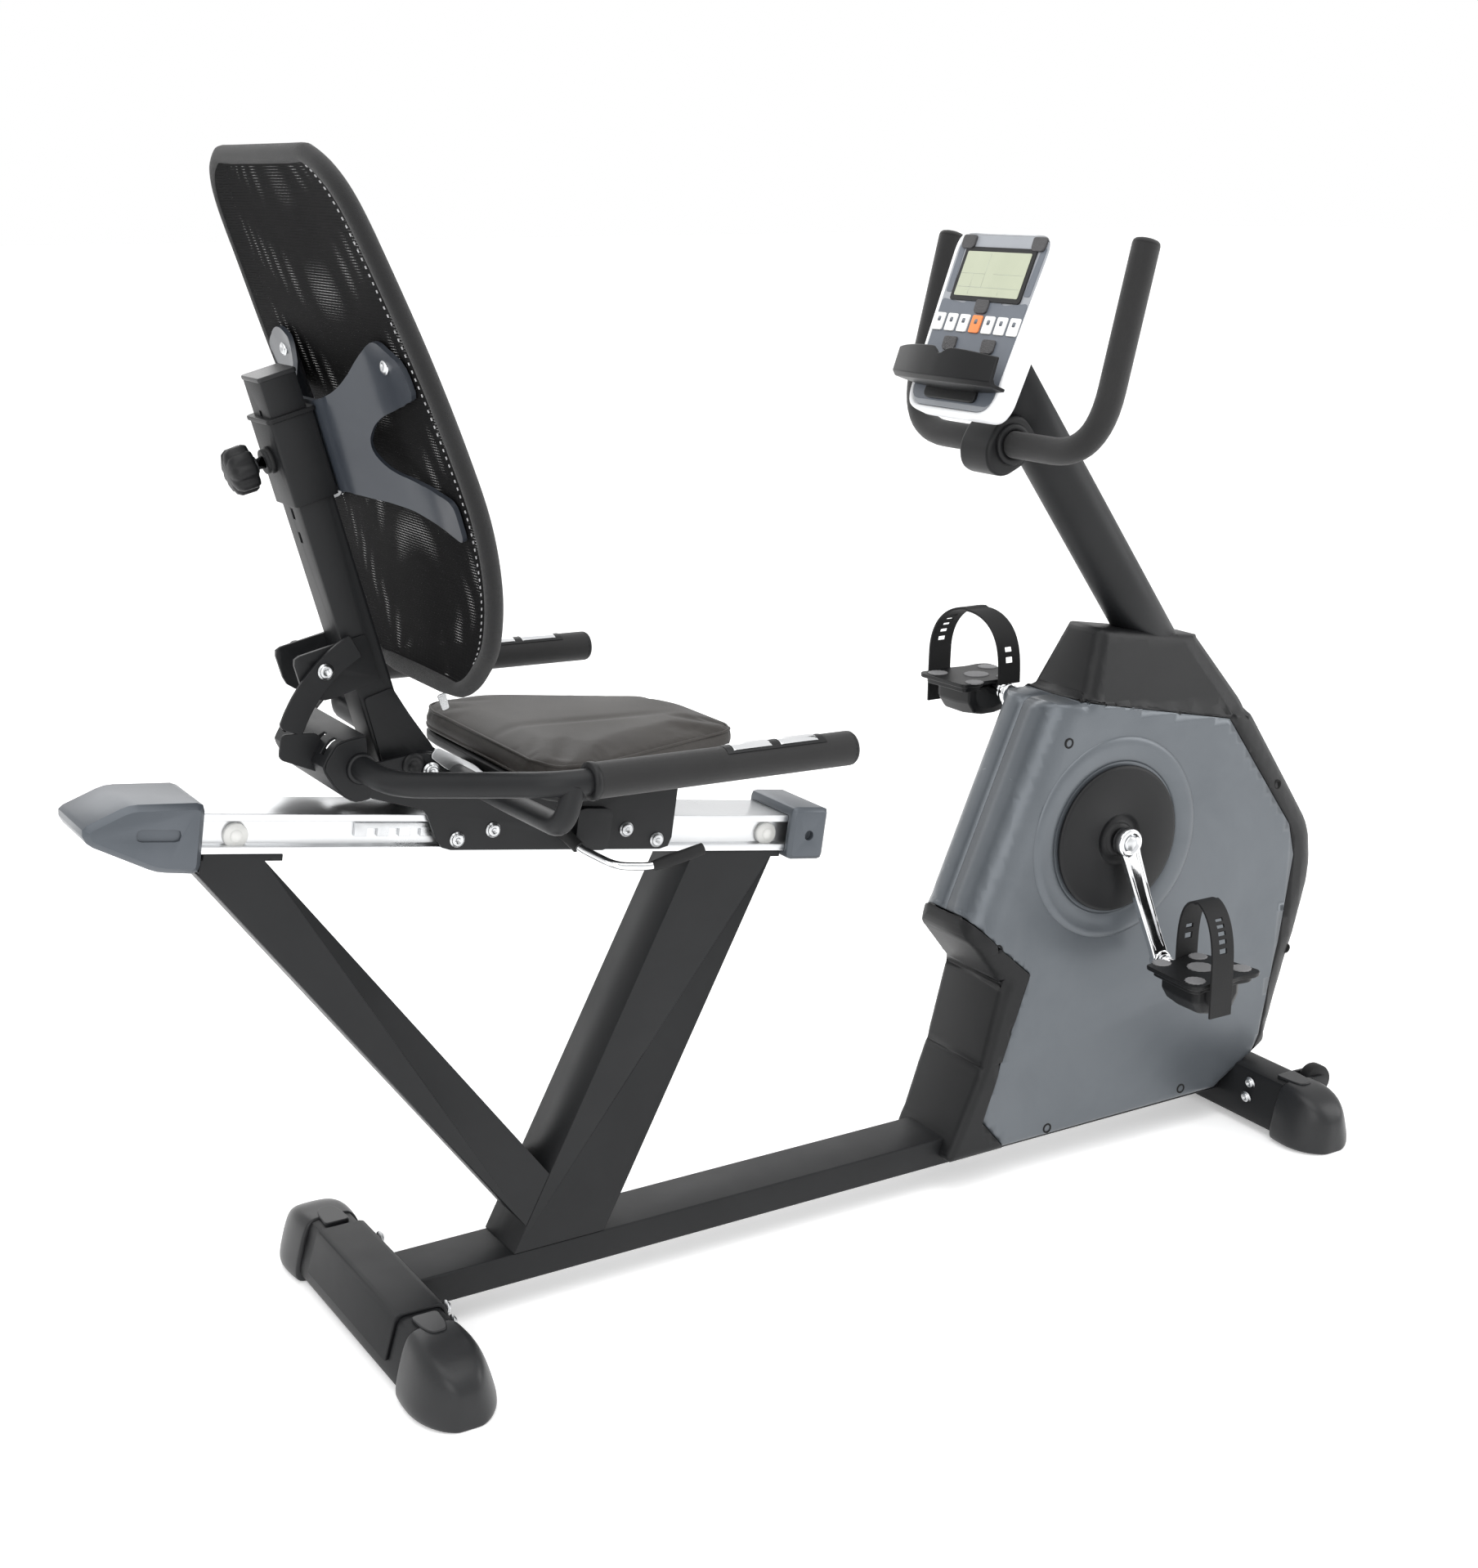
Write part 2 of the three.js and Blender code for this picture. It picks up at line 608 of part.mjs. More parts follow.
const latchBlock = alongY(
  outline([[LEVER_PIVOT[0] + 19, -36], [LEVER_PIVOT[0] + 62, -36], [LEVER_PIVOT[0] + 62, 12],
    [LEVER_PIVOT[0] + 19, 12]], 8),
  -carriageOut - 12,
  -carriageOut + 1,
);
piece("carriage", join(...plates, deck, hingePin, latchBlock, leverPin(LEVER_PIN, 0)), FRAME_BLACK, rail);

const seatPlan = (grow) => [
  [SEAT.rear - grow, -SEAT.rearHalf - grow, 88],
  [SEAT.front + grow, -SEAT.frontHalf - grow, 26],
  [SEAT.front + grow, SEAT.frontHalf + grow, 26],
  [SEAT.rear - grow, SEAT.rearHalf + grow, 88],
];
piece("seat_pan", alongZ(outline(seatPlan(-3)), 0, PAN_THICK, 6, 3), TRIM_BLACK, seat);
piece(
  "seat_cushion",
  alongZ(outline(seatPlan(0)), PAN_THICK + GAP, PAN_THICK + GAP + CUSHION_THICK, 6, 7),
  CUSHION_BROWN,
  seat,
);

// The seat lever turns on a pin at the right-hand plate, with its pawl under the rack.
const leverZ = LEVER_PIVOT[1];
const leverRod = bentBar(
  [
    [LEVER_PIVOT[0] + 6, -carriageOut - 9, leverZ - 4],
    [LEVER_PIVOT[0] + 16, -carriageOut - 26, leverZ - 14],
    [LEVER_PIVOT[0] + 44, -carriageOut - 66, leverZ - 25],
    [LEVER_PIVOT[0] + 84, -carriageOut - 73, leverZ - 24],
    [LEVER_PIVOT[0] + 142, -carriageOut - 78, leverZ - 4],
  ],
  5.5,
  14,
  16,
  8,
);
const leverHub = rod(
  [LEVER_PIVOT[0], -carriageOut - 16, leverZ],
  [LEVER_PIVOT[0], -carriageOut - 1, leverZ],
  10,
);
const leverBore = leverPin(LEVER_PIN + GAP, 3);
piece("seat_lever", cut(join(leverRod, leverHub), leverBore), CHROME, rail);

// ---------------------------------------------------------------- backrest post
const back = new THREE.Group();
back.position.set(PIVOT[0], 0, PIVOT[1]);
back.rotation.y = -rad(POST_LEAN);
bike.add(back);
const postRear = -POST.behind - POST.depth / 2;
const postFront = postRear + POST.depth;
const rectangle = (x0, x1, half, radius) =>
  outline([[x0, -half], [x1, -half], [x1, half], [x0, half]], radius);
const postBody = solidOf(alongZ(rectangle(postRear, postFront, POST.half, 3), POST.foot, POST.top, 2));
const postHollow = alongZ(
  rectangle(postRear + WALL, postFront - WALL, POST.half - WALL, 1),
  POST.foot + 60,
  POST.top - 4,
  2,
);
const HOLE_PITCH = 26;
const holeTop = SLEEVE.centre - 4;
const postHoles = [];
for (let i = -2; i <= 3; i++)
  postHoles.push(
    block(
      postRear - 1,
      postRear + WALL + 1,
      -3.5,
      3.5,
      holeTop - i * HOLE_PITCH - 6,
      holeTop - i * HOLE_PITCH + 6,
    ),
  );
const barrelHalf = CARRIAGE.side - GAP;
const footGusset = alongY(
  outline(
    [
      [16, -19, 14],
      [19, 12, 10],
      [postFront + 6, 62, 12],
      [postFront - 3, 96, 4],
      [postRear + 4, 96, 4],
      [postRear + 2, 14, 8],
      [-12, -17, 10],
    ],
    6,
  ),
  -POST.half - 3,
  POST.half + 3,
);
const barrel = rod([0, -barrelHalf, 0], [0, barrelHalf, 0], 19, 24);
const pinBore = rod([0, -99, 0], [0, 99, 0], PIVOT_PIN + GAP, 24);
const reclinePlates = [];
for (const { y } of sides) {
  const near = y * (POST.half - 1);
  const far = y * (POST.half - 1 + RECLINE_PLATE.thick);
  reclinePlates.push(
    alongY(
      outline(
        [
          [RECLINE_PIN.x - RECLINE_PLATE.half, RECLINE_PIN.z - RECLINE_PLATE.high + 8, 10],
          [RECLINE_PIN.x - 8, RECLINE_PIN.z - RECLINE_PLATE.high - 6, 12],
          [postFront - 14, RECLINE_PIN.z - RECLINE_PLATE.high - 6, 3],
          [postFront - 14, RECLINE_PIN.z + RECLINE_PLATE.high - 8, 3],
          [RECLINE_PIN.x - RECLINE_PLATE.half, RECLINE_PIN.z + RECLINE_PLATE.high - 4, 8],
        ],
        6,
      ),
      Math.min(near, far),
      Math.max(near, far),
    ),
  );
}
const reclineBore = rod(
  [RECLINE_PIN.x, -99, RECLINE_PIN.z],
  [RECLINE_PIN.x, 99, RECLINE_PIN.z],
  RECLINE_PIN.radius + GAP,
);
piece(
  "back_post",
  cut(
    postBody.subtract(solidOf(postHollow)).add(solidOf(footGusset)).add(solidOf(barrel))
      .add(solidOf(reclinePlates[0])).add(solidOf(reclinePlates[1])),
    pinBore,
    reclineBore,
    ...postHoles,
  ),
  FRAME_BLACK,
  back,
);
// The pin reaches through both plates into the slotted quadrant beside the right-hand one.
const quadrantNear = -(POST.half - 1 + RECLINE_PLATE.thick) - 2;
const quadrantFar = quadrantNear - RECLINE_PLATE.thick;
const reclineKnob = join(
  rod(
    [RECLINE_PIN.x, quadrantFar + GAP - 3, RECLINE_PIN.z],
    [RECLINE_PIN.x, POST.half + 12, RECLINE_PIN.z],
    RECLINE_PIN.radius,
  ),
  rod(
    [RECLINE_PIN.x, POST.half + 8, RECLINE_PIN.z],
    [RECLINE_PIN.x, POST.half + 8 + RECLINE_PIN.knobLength, RECLINE_PIN.z],
    RECLINE_PIN.knob,
    24,
  ),
);
piece("recline_knob", reclineKnob, TRIM_BLACK, back);

// ---------------------------------------------------------------- sleeve and bracket
const sleeveLow = SLEEVE.centre - SLEEVE.length / 2;
const sleeveHigh = SLEEVE.centre + SLEEVE.length / 2;
const sleeveHalf = POST.half + SLEEVE.clear + WALL + 1;
const sleeveRear = postRear - SLEEVE.clear - WALL - 1;
const sleeveFront = postFront + SLEEVE.clear + WALL + 1;
const sleeveBore = alongZ(
  rectangle(postRear - SLEEVE.clear, postFront + SLEEVE.clear, POST.half + SLEEVE.clear, 0),
  sleeveLow - 1,
  sleeveHigh + 1,
);
const knobZ = SLEEVE.centre + 4;
const knobBore = rod([sleeveRear - 30, 0, knobZ], [sleeveRear + 10, 0, knobZ], HEIGHT_KNOB.shank + GAP);
const collar = rod([sleeveRear - 9, 0, knobZ], [sleeveRear + 1, 0, knobZ], 13, 20);
piece(
  "back_sleeve",
  cut(
    join(alongZ(rectangle(sleeveRear, sleeveFront, sleeveHalf, 4), sleeveLow, sleeveHigh), collar),
    sleeveBore,
    knobBore,
  ),
  FRAME_BLACK,
  back,
);
const knobShank = rod(
  [sleeveRear - HEIGHT_KNOB.stand, 0, knobZ],
  [postRear - 1, 0, knobZ],
  HEIGHT_KNOB.shank,
);
const knobHead = new THREE.CylinderGeometry(
  HEIGHT_KNOB.radius - 2,
  HEIGHT_KNOB.radius,
  HEIGHT_KNOB.length,
  24,
)
  .rotateZ(Math.PI / 2)
  .translate(sleeveRear - HEIGHT_KNOB.stand - HEIGHT_KNOB.length / 2 + 2, 0, knobZ);
piece("height_knob", join(knobShank, knobHead), TRIM_BLACK, back);

// The backrest's middle surface bows forwards: [distance ahead of the hinge, height, half width].
const BACK_PROFILE = [
  [38, 80, 70],
  [44, 95, 122],
  [51, 118, 156],
  [58, 150, 186],
  [67, 205, 206],
  [71, 274, 216],
  [67, 350, 217],
  [59, 440, 213],
  [50, 532, 200],
  [43, 595, 187],
  [39, 628, 164],
  [37, 646, 128],
  [36, 655, 92],
];
const profileAt = (height) => {
  const next = BACK_PROFILE.findIndex((row) => row[1] >= height);
  const [a, b] = [BACK_PROFILE[Math.max(next - 1, 0)], BACK_PROFILE[Math.max(next, 1)]];
  return a[0] + ((b[0] - a[0]) * (height - a[1])) / (b[1] - a[1]);
};
const HOOP = 9; // radius of the hoop's tube
const BRACKET = { thick: 6, armHalf: 184 };
const bracketFrom = sleeveFront + GAP;
// Seen from above, the bracket leaves the sleeve and sweeps out and forwards to the backrest.
const sweep = (offset) => {
  const reach = profileAt(SLEEVE.centre + 30) - BACK_THICK / 2 - GAP - 1;
  return [
    [bracketFrom + offset, 0],
    [bracketFrom + offset, 24],
    [bracketFrom + 10 + offset, 52],
    [reach - 26 + offset * 0.6, 88],
    [reach - 8 + offset * 0.4, 118],
    [reach - BRACKET.thick + offset, BRACKET.armHalf],
  ];
};
const sweepOuter = sweep(BRACKET.thick);
const sweepInner = sweep(0);
const bracketPlan = [
  ...sweepInner.map(([x, y]) => [x, -y]).reverse(),
  ...sweepInner.slice(1),
  ...[...sweepOuter].reverse(),
  ...sweepOuter.slice(1).map(([x, y]) => [x, -y]),
];
const armRoot = 52;
const bracketFace = [
  [-BRACKET.armHalf, 112, 12],
  [-BRACKET.armHalf, 52, 12],
  [-118, 54, 26],
  [-62, 22, 26],
  [-62, -16, 26],
  [-114, -50, 26],
  [-BRACKET.armHalf, -58, 12],
  [-BRACKET.armHalf, -112, 12],
  [-100, -104, 30],
  [-34, -armRoot, 16],
  [34, -armRoot, 16],
  [100, -104, 30],
  [BRACKET.armHalf, -112, 12],
  [BRACKET.armHalf, -58, 12],
  [114, -50, 26],
  [62, -16, 26],
  [62, 22, 26],
  [118, 54, 26],
  [BRACKET.armHalf, 52, 12],
  [BRACKET.armHalf, 112, 12],
  [100, 112, 30],
  [34, armRoot, 16],
  [-34, armRoot, 16],
  [-100, 112, 30],
];
const sheet = solidOf(alongZ(outline(bracketPlan), SLEEVE.centre - 130, SLEEVE.centre + 130));
const face = alongX(outline(bracketFace), sleeveFront - 40, 150, 3).translate(0, 0, SLEEVE.centre);
// The arms end on the backrest's rear face, which bows.
const ring = (grow, [ahead, height, half]) =>
  [
    [-1, -1],
    [1, -1],
    [1, 1],
    [-1, 1],
  ].map(([a, b]) => [ahead + a * (BACK_THICK / 2 + grow), b * (half + grow), height]);
const backRoom = loft(BACK_PROFILE.map((row) => ring(GAP, row)));
piece("back_bracket", sheet.intersect(solidOf(face)).subtract(solidOf(backRoom)), BLUE_GREY, back);

// A closed hoop of tube along a closed curve.
function hoopTube(path, radius, steps, count) {
  const { normals, binormals } = path.computeFrenetFrames(steps, true);
  const points = [];
  const faces = [];
  for (let s = 0; s < steps; s++) {
    const centre = path.getPointAt(s / steps);
    for (let i = 0; i < count; i++) {
      const turn = (2 * Math.PI * i) / count;
      const p = centre.clone().addScaledVector(normals[s], radius * Math.cos(turn));
      p.addScaledVector(binormals[s], radius * Math.sin(turn));
      points.push(p.x, p.y, p.z);
      const a = s * count + i;
      const b = s * count + ((i + 1) % count);
      const [c, d] = [a, b].map((k) => (k + count) % (steps * count));
      faces.push(a, b, d, a, d, c);
    }
  }
  const geometry = new THREE.BufferGeometry();
  geometry.setAttribute("position", new THREE.Float32BufferAttribute(points, 3));
  geometry.setIndex(faces);
  const shaded = geometry.toNonIndexed();
  shaded.computeVertexNormals();
  return shaded;
}
const backLow = BACK_PROFILE[0][1];
const backHigh = BACK_PROFILE.at(-1)[1];
const hoopIn = 20;
const hoopSide = BACK_PROFILE.map(
  ([ahead, height, half]) =>
    new THREE.Vector3(ahead, half - hoopIn, THREE.MathUtils.clamp(height, backLow + HOOP, backHigh - HOOP)),
);
const hoopLoop = [...hoopSide, ...hoopSide.map((p) => p.clone().setY(-p.y)).reverse()];
const hoopPath = new THREE.CatmullRomCurve3(hoopLoop, true, "centripetal");
piece("backrest_hoop", hoopTube(hoopPath, HOOP, 48, 8), FRAME_BLACK, back);
const meshRings = BACK_PROFILE.filter(([, height]) => height > backLow + 36 && height < backHigh - 28);
const meshIn = hoopIn + HOOP + 6;
piece(
  "backrest_mesh",
  loft(meshRings.map(([ahead, height, half]) => ring(0, [ahead, height, half - meshIn]))),
  MESH_BLACK,
  back,
);

// ---------------------------------------------------------------- side arms and grips
const bracketSide = [
  [-29, 720],
  [-8, 716, 4],
  [-8, 656, 8],
  [-26, 652, 18],
  [-52, 668, 20],
  [-62, 697, 8],
];
const bracketHollow = [
  [-31, 715],
  [60, 712],
  [60, 660],
  [-26, 656, 16],
  [-49, 670, 18],
  [-58, 697, 6],
];
const bracketShell = cut(
  solidOf(alongY(outline(bracketSide, 6), -ARM_BRACKET.half, ARM_BRACKET.half)),
  alongY(outline(bracketHollow, 4), -ARM_BRACKET.half + WALL, ARM_BRACKET.half - WALL),
);
const ovals = [-56, -28, 28, 56].map((y) => {
  const slot = alongX(outline([[-6, -11], [6, -11], [6, 11], [-6, 11]], 6), -20, 20);
  return slot.rotateY(rad(56)).translate(-46, y, 708);
});
const armRootX = -14;
const ARM_ROUTE = [
  [armRootX, ARM_BRACKET.half - 1.5, 685],
  [armRootX - 2, 148, 687],
  [98, GRIP.y, 709, 28],
  [GRIP.end - 8, GRIP.y, GRIP.endZ],
];
const sideArms = sides.map(({ y }) =>
  bentBar(ARM_ROUTE.map(([x, w, z, bend]) => [x, y * w, z, bend]), ARM_TUBE, 60, 24, 10),
);
const BRACE_X = 110;
const braces = sides.map(({ y }) =>
  bentBar(
    [
      [BRACE_X, y * GRIP.y, GRIP.z],
      [BRACE_X - 13, y * GRIP.y, 662],
      [BRACE_X - 13, y * 160, 661],
      [BRACE_X - 13, y * (carriageOut + GAP), 660],
    ],
    ARM_TUBE - 1,
    34,
    16,
    8,
  ),
);
// The quadrant carries the recline pin in a slot that follows the hinge.
const reclineReach = Math.hypot(RECLINE_PIN.x, RECLINE_PIN.z);
const pinAngle = 180 - (Math.atan2(RECLINE_PIN.z, -RECLINE_PIN.x) * 180) / Math.PI + POST_LEAN;
function arcBand(inner, outer, from, to) {
  const shape = new THREE.Shape();
  shape.absarc(PIVOT[0], PIVOT[1], outer, rad(from), rad(to));
  shape.absarc(PIVOT[0], PIVOT[1], inner, rad(to), rad(from), true);
  shape.closePath();
  return shape;
}
const quadrantBand = arcBand(reclineReach - 13, reclineReach + 13, pinAngle - 14, 163);
const quadrant = alongY(quadrantBand, quadrantFar, quadrantNear, 10);
const quadrantFoot = alongY(
  outline([[-95, 706], [-52, 680], [-40, 690], [-60, 722], [-92, 728]], 3),
  quadrantFar,
  quadrantNear,
);
const pinRoom = RECLINE_PIN.radius + 1;
const slot = alongY(
  arcBand(reclineReach - pinRoom, reclineReach + pinRoom, pinAngle - 10.5, pinAngle + 12.5),
  quadrantFar - 1,
  quadrantNear + 1,
  10,
);
const armWeld = [...sideArms, ...braces, quadrant, quadrantFoot];
piece(
  "arm_frame",
  cut(armWeld.map(solidOf).reduce((a, b) => a.add(b), bracketShell), slot, ...ovals),
  FRAME_BLACK,
);

const [[gripRootX, , gripRootZ], [armEndX]] = ARM_ROUTE.slice(2);
const gripSlope = (GRIP.endZ - gripRootZ) / (armEndX - gripRootX);
for (const { name, y } of sides) {
  const onArm = (x) => [x, y * GRIP.y, gripRootZ + (x - gripRootX) * gripSlope];
  const sleeve = rod(onArm(GRIP.start), onArm(GRIP.end), GRIP.radius, 18);
  const bore = rod(onArm(GRIP.start - 9), onArm(armEndX + GAP), ARM_TUBE + 2 * GAP, 18);
  piece(`grip_${name}`, cut(solidOf(sleeve), bore), FOAM_BLACK);
}

// ---------------------------------------------------------------- drive housing
// The widest outline, seen from the side.
const HOUSING_OUTLINE = [
  [910, 636],
  [795, 378],
  [788, 348],
  [842, 278],
  [812, 168],
  [774, 76],
  [760, 46],
  [1232, 46],
  [1336, 105],
  [1398, 340],
  [1390, 408],
  [1262, 590],
  [1186, 692],
  [1000, 722],
  [962, 635],
];
const halfHousing = HOUSING.half;
const housingCore = solidOf(alongY(outline(HOUSING_OUTLINE, 12), -halfHousing, halfHousing, 2, 3));
const housingInner = solidOf(
  alongY(
    outline(inset(HOUSING_OUTLINE, HOUSING.wall), 10),
    -halfHousing + HOUSING.wall,
    halfHousing - HOUSING.wall,
  ),
);
// Prisms that slope the housing's side in towards an edge from a to b, off by a wall for the inside.
function slopes(a, b, inward, deep, over, wall) {
  const along = new THREE.Vector2(b[0] - a[0], b[1] - a[1]).normalize();
  const inn = new THREE.Vector2(-along.y, along.x).multiplyScalar(inward);
  const low = new THREE.Vector2(...a).addScaledVector(along, -over[0]).addScaledVector(inn, -wall);
  const length = Math.hypot(b[0] - a[0], b[1] - a[1]) + over[0] + over[1];
  return sides.map(({ y }) => {
    const corner = (back, out) => [back, y * out];
    const section = outline([
      corner(-60, halfHousing - deep - wall),
      corner(-60, halfHousing + 30),
      corner(deep * 1.05, halfHousing + 30),
      corner(deep * 1.05, halfHousing - wall * 0.4),
      corner(deep * 0.4, halfHousing - deep * 0.28 - wall * 0.7),
      corner(0, halfHousing - deep - wall),
    ]);
    const bar = extrude(section, length, 2);
    const basis = new THREE.Matrix4().makeBasis(
      new THREE.Vector3(inn.x, 0, inn.y),
      Y,
      new THREE.Vector3(along.x, 0, along.y),
    );
    if (basis.determinant() < 0) {
      bar.translate(0, 0, -length);
      basis.makeBasis(
        new THREE.Vector3(inn.x, 0, inn.y),
        Y,
        new THREE.Vector3(-along.x, 0, -along.y),
      );
    }
    bar.applyMatrix4(basis).translate(low.x, 0, low.y);
    return bar;
  });
}
const EDGES = [
  [HOUSING_OUTLINE[3], HOUSING_OUTLINE[2], -1, 18, [0, 30]],
  [HOUSING_OUTLINE[2], HOUSING_OUTLINE[1], -1, 30, [20, 40]],
  [HOUSING_OUTLINE[1], HOUSING_OUTLINE[0], -1, 40, [60, 70]],
  [HOUSING_OUTLINE[8], HOUSING_OUTLINE[9], 1, 40, [70, 70]],
  [HOUSING_OUTLINE[10], HOUSING_OUTLINE[11], 1, 40, [70, 70]],
  [HOUSING_OUTLINE[11], HOUSING_OUTLINE[12], 1, 40, [70, 70]],
];
// The neck's sides lean in above the side panels.
const NECK = { half: 40, low: [906, 645], high: [1000, 722] };
function neckSlopes(wall) {
  const [dx, dz] = [Math.cos(rad(10.6)), -Math.sin(rad(10.6))];
  const height = (NECK.high[1] - NECK.low[1]) * 1.15;
  return sides.map(({ y }) => {
    const section = outline([
      [y * (halfHousing - wall), 0],
      [y * (NECK.half - wall), height],
      [y * (halfHousing + 60), height],
      [y * (halfHousing + 60), -12],
      [y * (halfHousing - wall * 0.5), -12],
    ]);
    const bar = extrude(section, 560, 2);
    const basis = new THREE.Matrix4().makeBasis(
      Y,
      new THREE.Vector3(-dz, 0, dx),
      new THREE.Vector3(dx, 0, dz),
    );
    return bar.applyMatrix4(basis).translate(NECK.low[0] - 60, 0, NECK.low[1] + 12);
  });
}
const housingOut = cut(housingCore, ...EDGES.flatMap((e) => slopes(...e, 0)), ...neckSlopes(0));
const housingIn = cut(
  housingInner,
  ...EDGES.flatMap((e) => slopes(...e, -HOUSING.wall)),
  ...neckSlopes(-HOUSING.wall),
);
const openBottom = block(600, 1500, -BASE.half - 1, BASE.half + 1, 0, BASE.top + 1);
const spindleRoom = rod([CRANK.x, -99, CRANK.z], [CRANK.x, 99, CRANK.z], SPINDLE + 3, 20);
const mastAxis = new THREE.Vector3(-Math.sin(rad(MAST.lean)), 0, Math.cos(rad(MAST.lean)));
const mastPoint = (run, out = 0) => [
  MAST.lowX + mastAxis.x * run - mastAxis.z * out,
  0,
  MAST.lowZ + mastAxis.z * run + mastAxis.x * out,
];
const footRoom = alongY(outline(footSection(FOOT_SPACING, 1)), -99, 99);
const mastRoom = rod(mastPoint(-40), mastPoint(300), MAST.radius + 1, 24);
const housingShell = housingOut
  .subtract(housingIn)
  .subtract(solidOf(openBottom))
  .subtract(solidOf(spindleRoom))
  .subtract(solidOf(mastRoom))
  .subtract(solidOf(footRoom));

// Regions of the shell: the grey side panels, the black front and neck, the black lower rear.
const SEAM = 0.4;
const frontSeam = [
  [906, 645],
  [965, 634],
  [1206, 584],
  [1330, 418],
  [1342, 372],
  [1304, 112],
  [1262, 40],
];
const rearSeam = [
  [770, 392],
  [832, 328],
  [882, 284],
  [840, 171],
  [814, 91],
  [866, 40],
];
const FAR = 600;
const shifted = (points, dx, dz) => points.map(([x, z]) => [x + dx, z + dz]);
const frontRegion = (gap) =>
  alongY(
    outline([...shifted(frontSeam, gap, gap), [1262 + FAR, 0], [1262 + FAR, 900], [880, 900], [880, 660]]),
    -FAR,
    FAR,
  );
const rearRegion = (gap) =>
  alongY(outline([...shifted(rearSeam, -gap, -gap), [866, 20], [500, 20], [500, 392]]), -FAR, FAR);
piece("shroud_front", housingShell.intersect(solidOf(frontRegion(SEAM))), TRIM_BLACK);
piece("shroud_rear", housingShell.intersect(solidOf(rearRegion(SEAM))), TRIM_BLACK);
const panels = housingShell.subtract(solidOf(frontRegion(0))).subtract(solidOf(rearRegion(0)));
for (const { name, y } of sides) {
  const beyond = halfHousing + 35;
  const other = block(500, 1500, y > 0 ? -beyond : -SEAM / 2, y > 0 ? SEAM / 2 : beyond, 0, 900);
  const base = y * (halfHousing - 1);
  const crest = y * (halfHousing + RING.raise);
  const raised = rod([CRANK.x, base, CRANK.z], [CRANK.x, crest, CRANK.z], RING.radius, 32, RING.radius - 5);
  const well = rod(
    [CRANK.x, y * (halfHousing + 1), CRANK.z],
    [CRANK.x, y * beyond, CRANK.z],
    DISC.radius + 5,
    28,
  );
  const full = panels
    .subtract(solidOf(other))
    .add(solidOf(raised).subtract(housingIn).subtract(solidOf(rearRegion(0)))
    .subtract(solidOf(frontRegion(0))));
  piece(`shroud_${name}`, full.subtract(solidOf(well)).subtract(solidOf(spindleRoom)), HOUSING_GREY);
}

// ---------------------------------------------------------------- mast
const innerPlateOut = INNER_PLATE.in + INNER_PLATE.thick;
const consoleMatrix = new THREE.Matrix4()
  .makeRotationY(rad(CONSOLE.tilt))
  .setPosition(CONSOLE.x, 0, CONSOLE.z);
const consoleRoom = block(-200, CONSOLE_DEPTH + GAP, -150, 150, -80, 300).applyMatrix4(consoleMatrix);
const mastBody = rod(mastPoint(0), mastPoint(600), MAST.radius, 28);
const mastHollow = rod(mastPoint(-9), mastPoint(700), MAST.radius - WALL, 28);
piece("mast", cut(solidOf(mastBody), mastHollow, consoleRoom), FRAME_BLACK);

// ---------------------------------------------------------------- inner frame
const innerSide = [
  [985, BASE.top + GAP, 0],
  [1238, BASE.top + GAP, 0],
  [1236, 380, 20],
  [1230, 560, 20],
  [1196, 596, 10],
  [1140, 560, 14],
  [990, 490, 20],
  [978, 420, 20],
];
const innerPlates = sides.map(({ y }) => {
  const near = y * INNER_PLATE.in;
  const far = y * innerPlateOut;
  return alongY(outline(innerSide, 8), Math.min(near, far), Math.max(near, far));
});
const bearingShell = rod([CRANK.x, -44, CRANK.z], [CRANK.x, PULLEY.y - PULLEY.half - 2, CRANK.z], 24, 28);
const mastFoot = cut(
  solidOf(rod(mastPoint(-60), mastPoint(-GAP), MAST.radius, 24)),
  block(900, 1400, -99, -innerPlateOut, 0, 900),
  block(900, 1400, innerPlateOut, 99, 0, 900),
);
const spindleBore = rod([CRANK.x, -99, CRANK.z], [CRANK.x, 99, CRANK.z], SPINDLE + GAP, 24);
const AXLE = 6;
const axleBore = rod([FLYWHEEL.x, -99, FLYWHEEL.z], [FLYWHEEL.x, 99, FLYWHEEL.z], AXLE + GAP, 20);
const magnetPin = [FLYWHEEL.x + 36, FLYWHEEL.z + 136];
const pinRod = rod(
  [magnetPin[0], -INNER_PLATE.in - 1, magnetPin[1]],
  [magnetPin[0], INNER_PLATE.in + 1, magnetPin[1]],
  5,
);
const innerFloor = block(985, 1238, -innerPlateOut, innerPlateOut, BASE.top + GAP, BASE.top + GAP + 5);
piece(
  "inner_frame",
  cut(join(...innerPlates, bearingShell, innerFloor, pinRod).add(mastFoot), spindleBore, axleBore),
  FRAME_BLACK,
);

// ---------------------------------------------------------------- cranks, pulley and pedals
const crank = new THREE.Group();
crank.position.set(CRANK.x, 0, CRANK.z);
bike.add(crank);
const crankHubOut = CRANK.hub + CRANK.thick / 2;
const wheelOf = (radius, low, high, groove) =>
  new THREE.LatheGeometry(
    [
      [0, low],
      [radius, low],
      [radius, low + 2],
      [radius - groove, low + 3],
      [radius - groove, high - 3],
      [radius, high - 2],
      [radius, high],
      [0, high],
    ].map(([r, h]) => new THREE.Vector2(r, h)),
    28,
  );
const pulleyDisc = wheelOf(PULLEY.radius, PULLEY.y - PULLEY.half, PULLEY.y + PULLEY.half, 2);
piece(
  "crank_spindle",
  join(rod([0, -crankHubOut, 0], [0, crankHubOut, 0], SPINDLE, 20), pulleyDisc),
  STEEL,
  crank,
);
const turnOf = (side) => rad(CRANK.angle + (side > 0 ? 180 : 0));
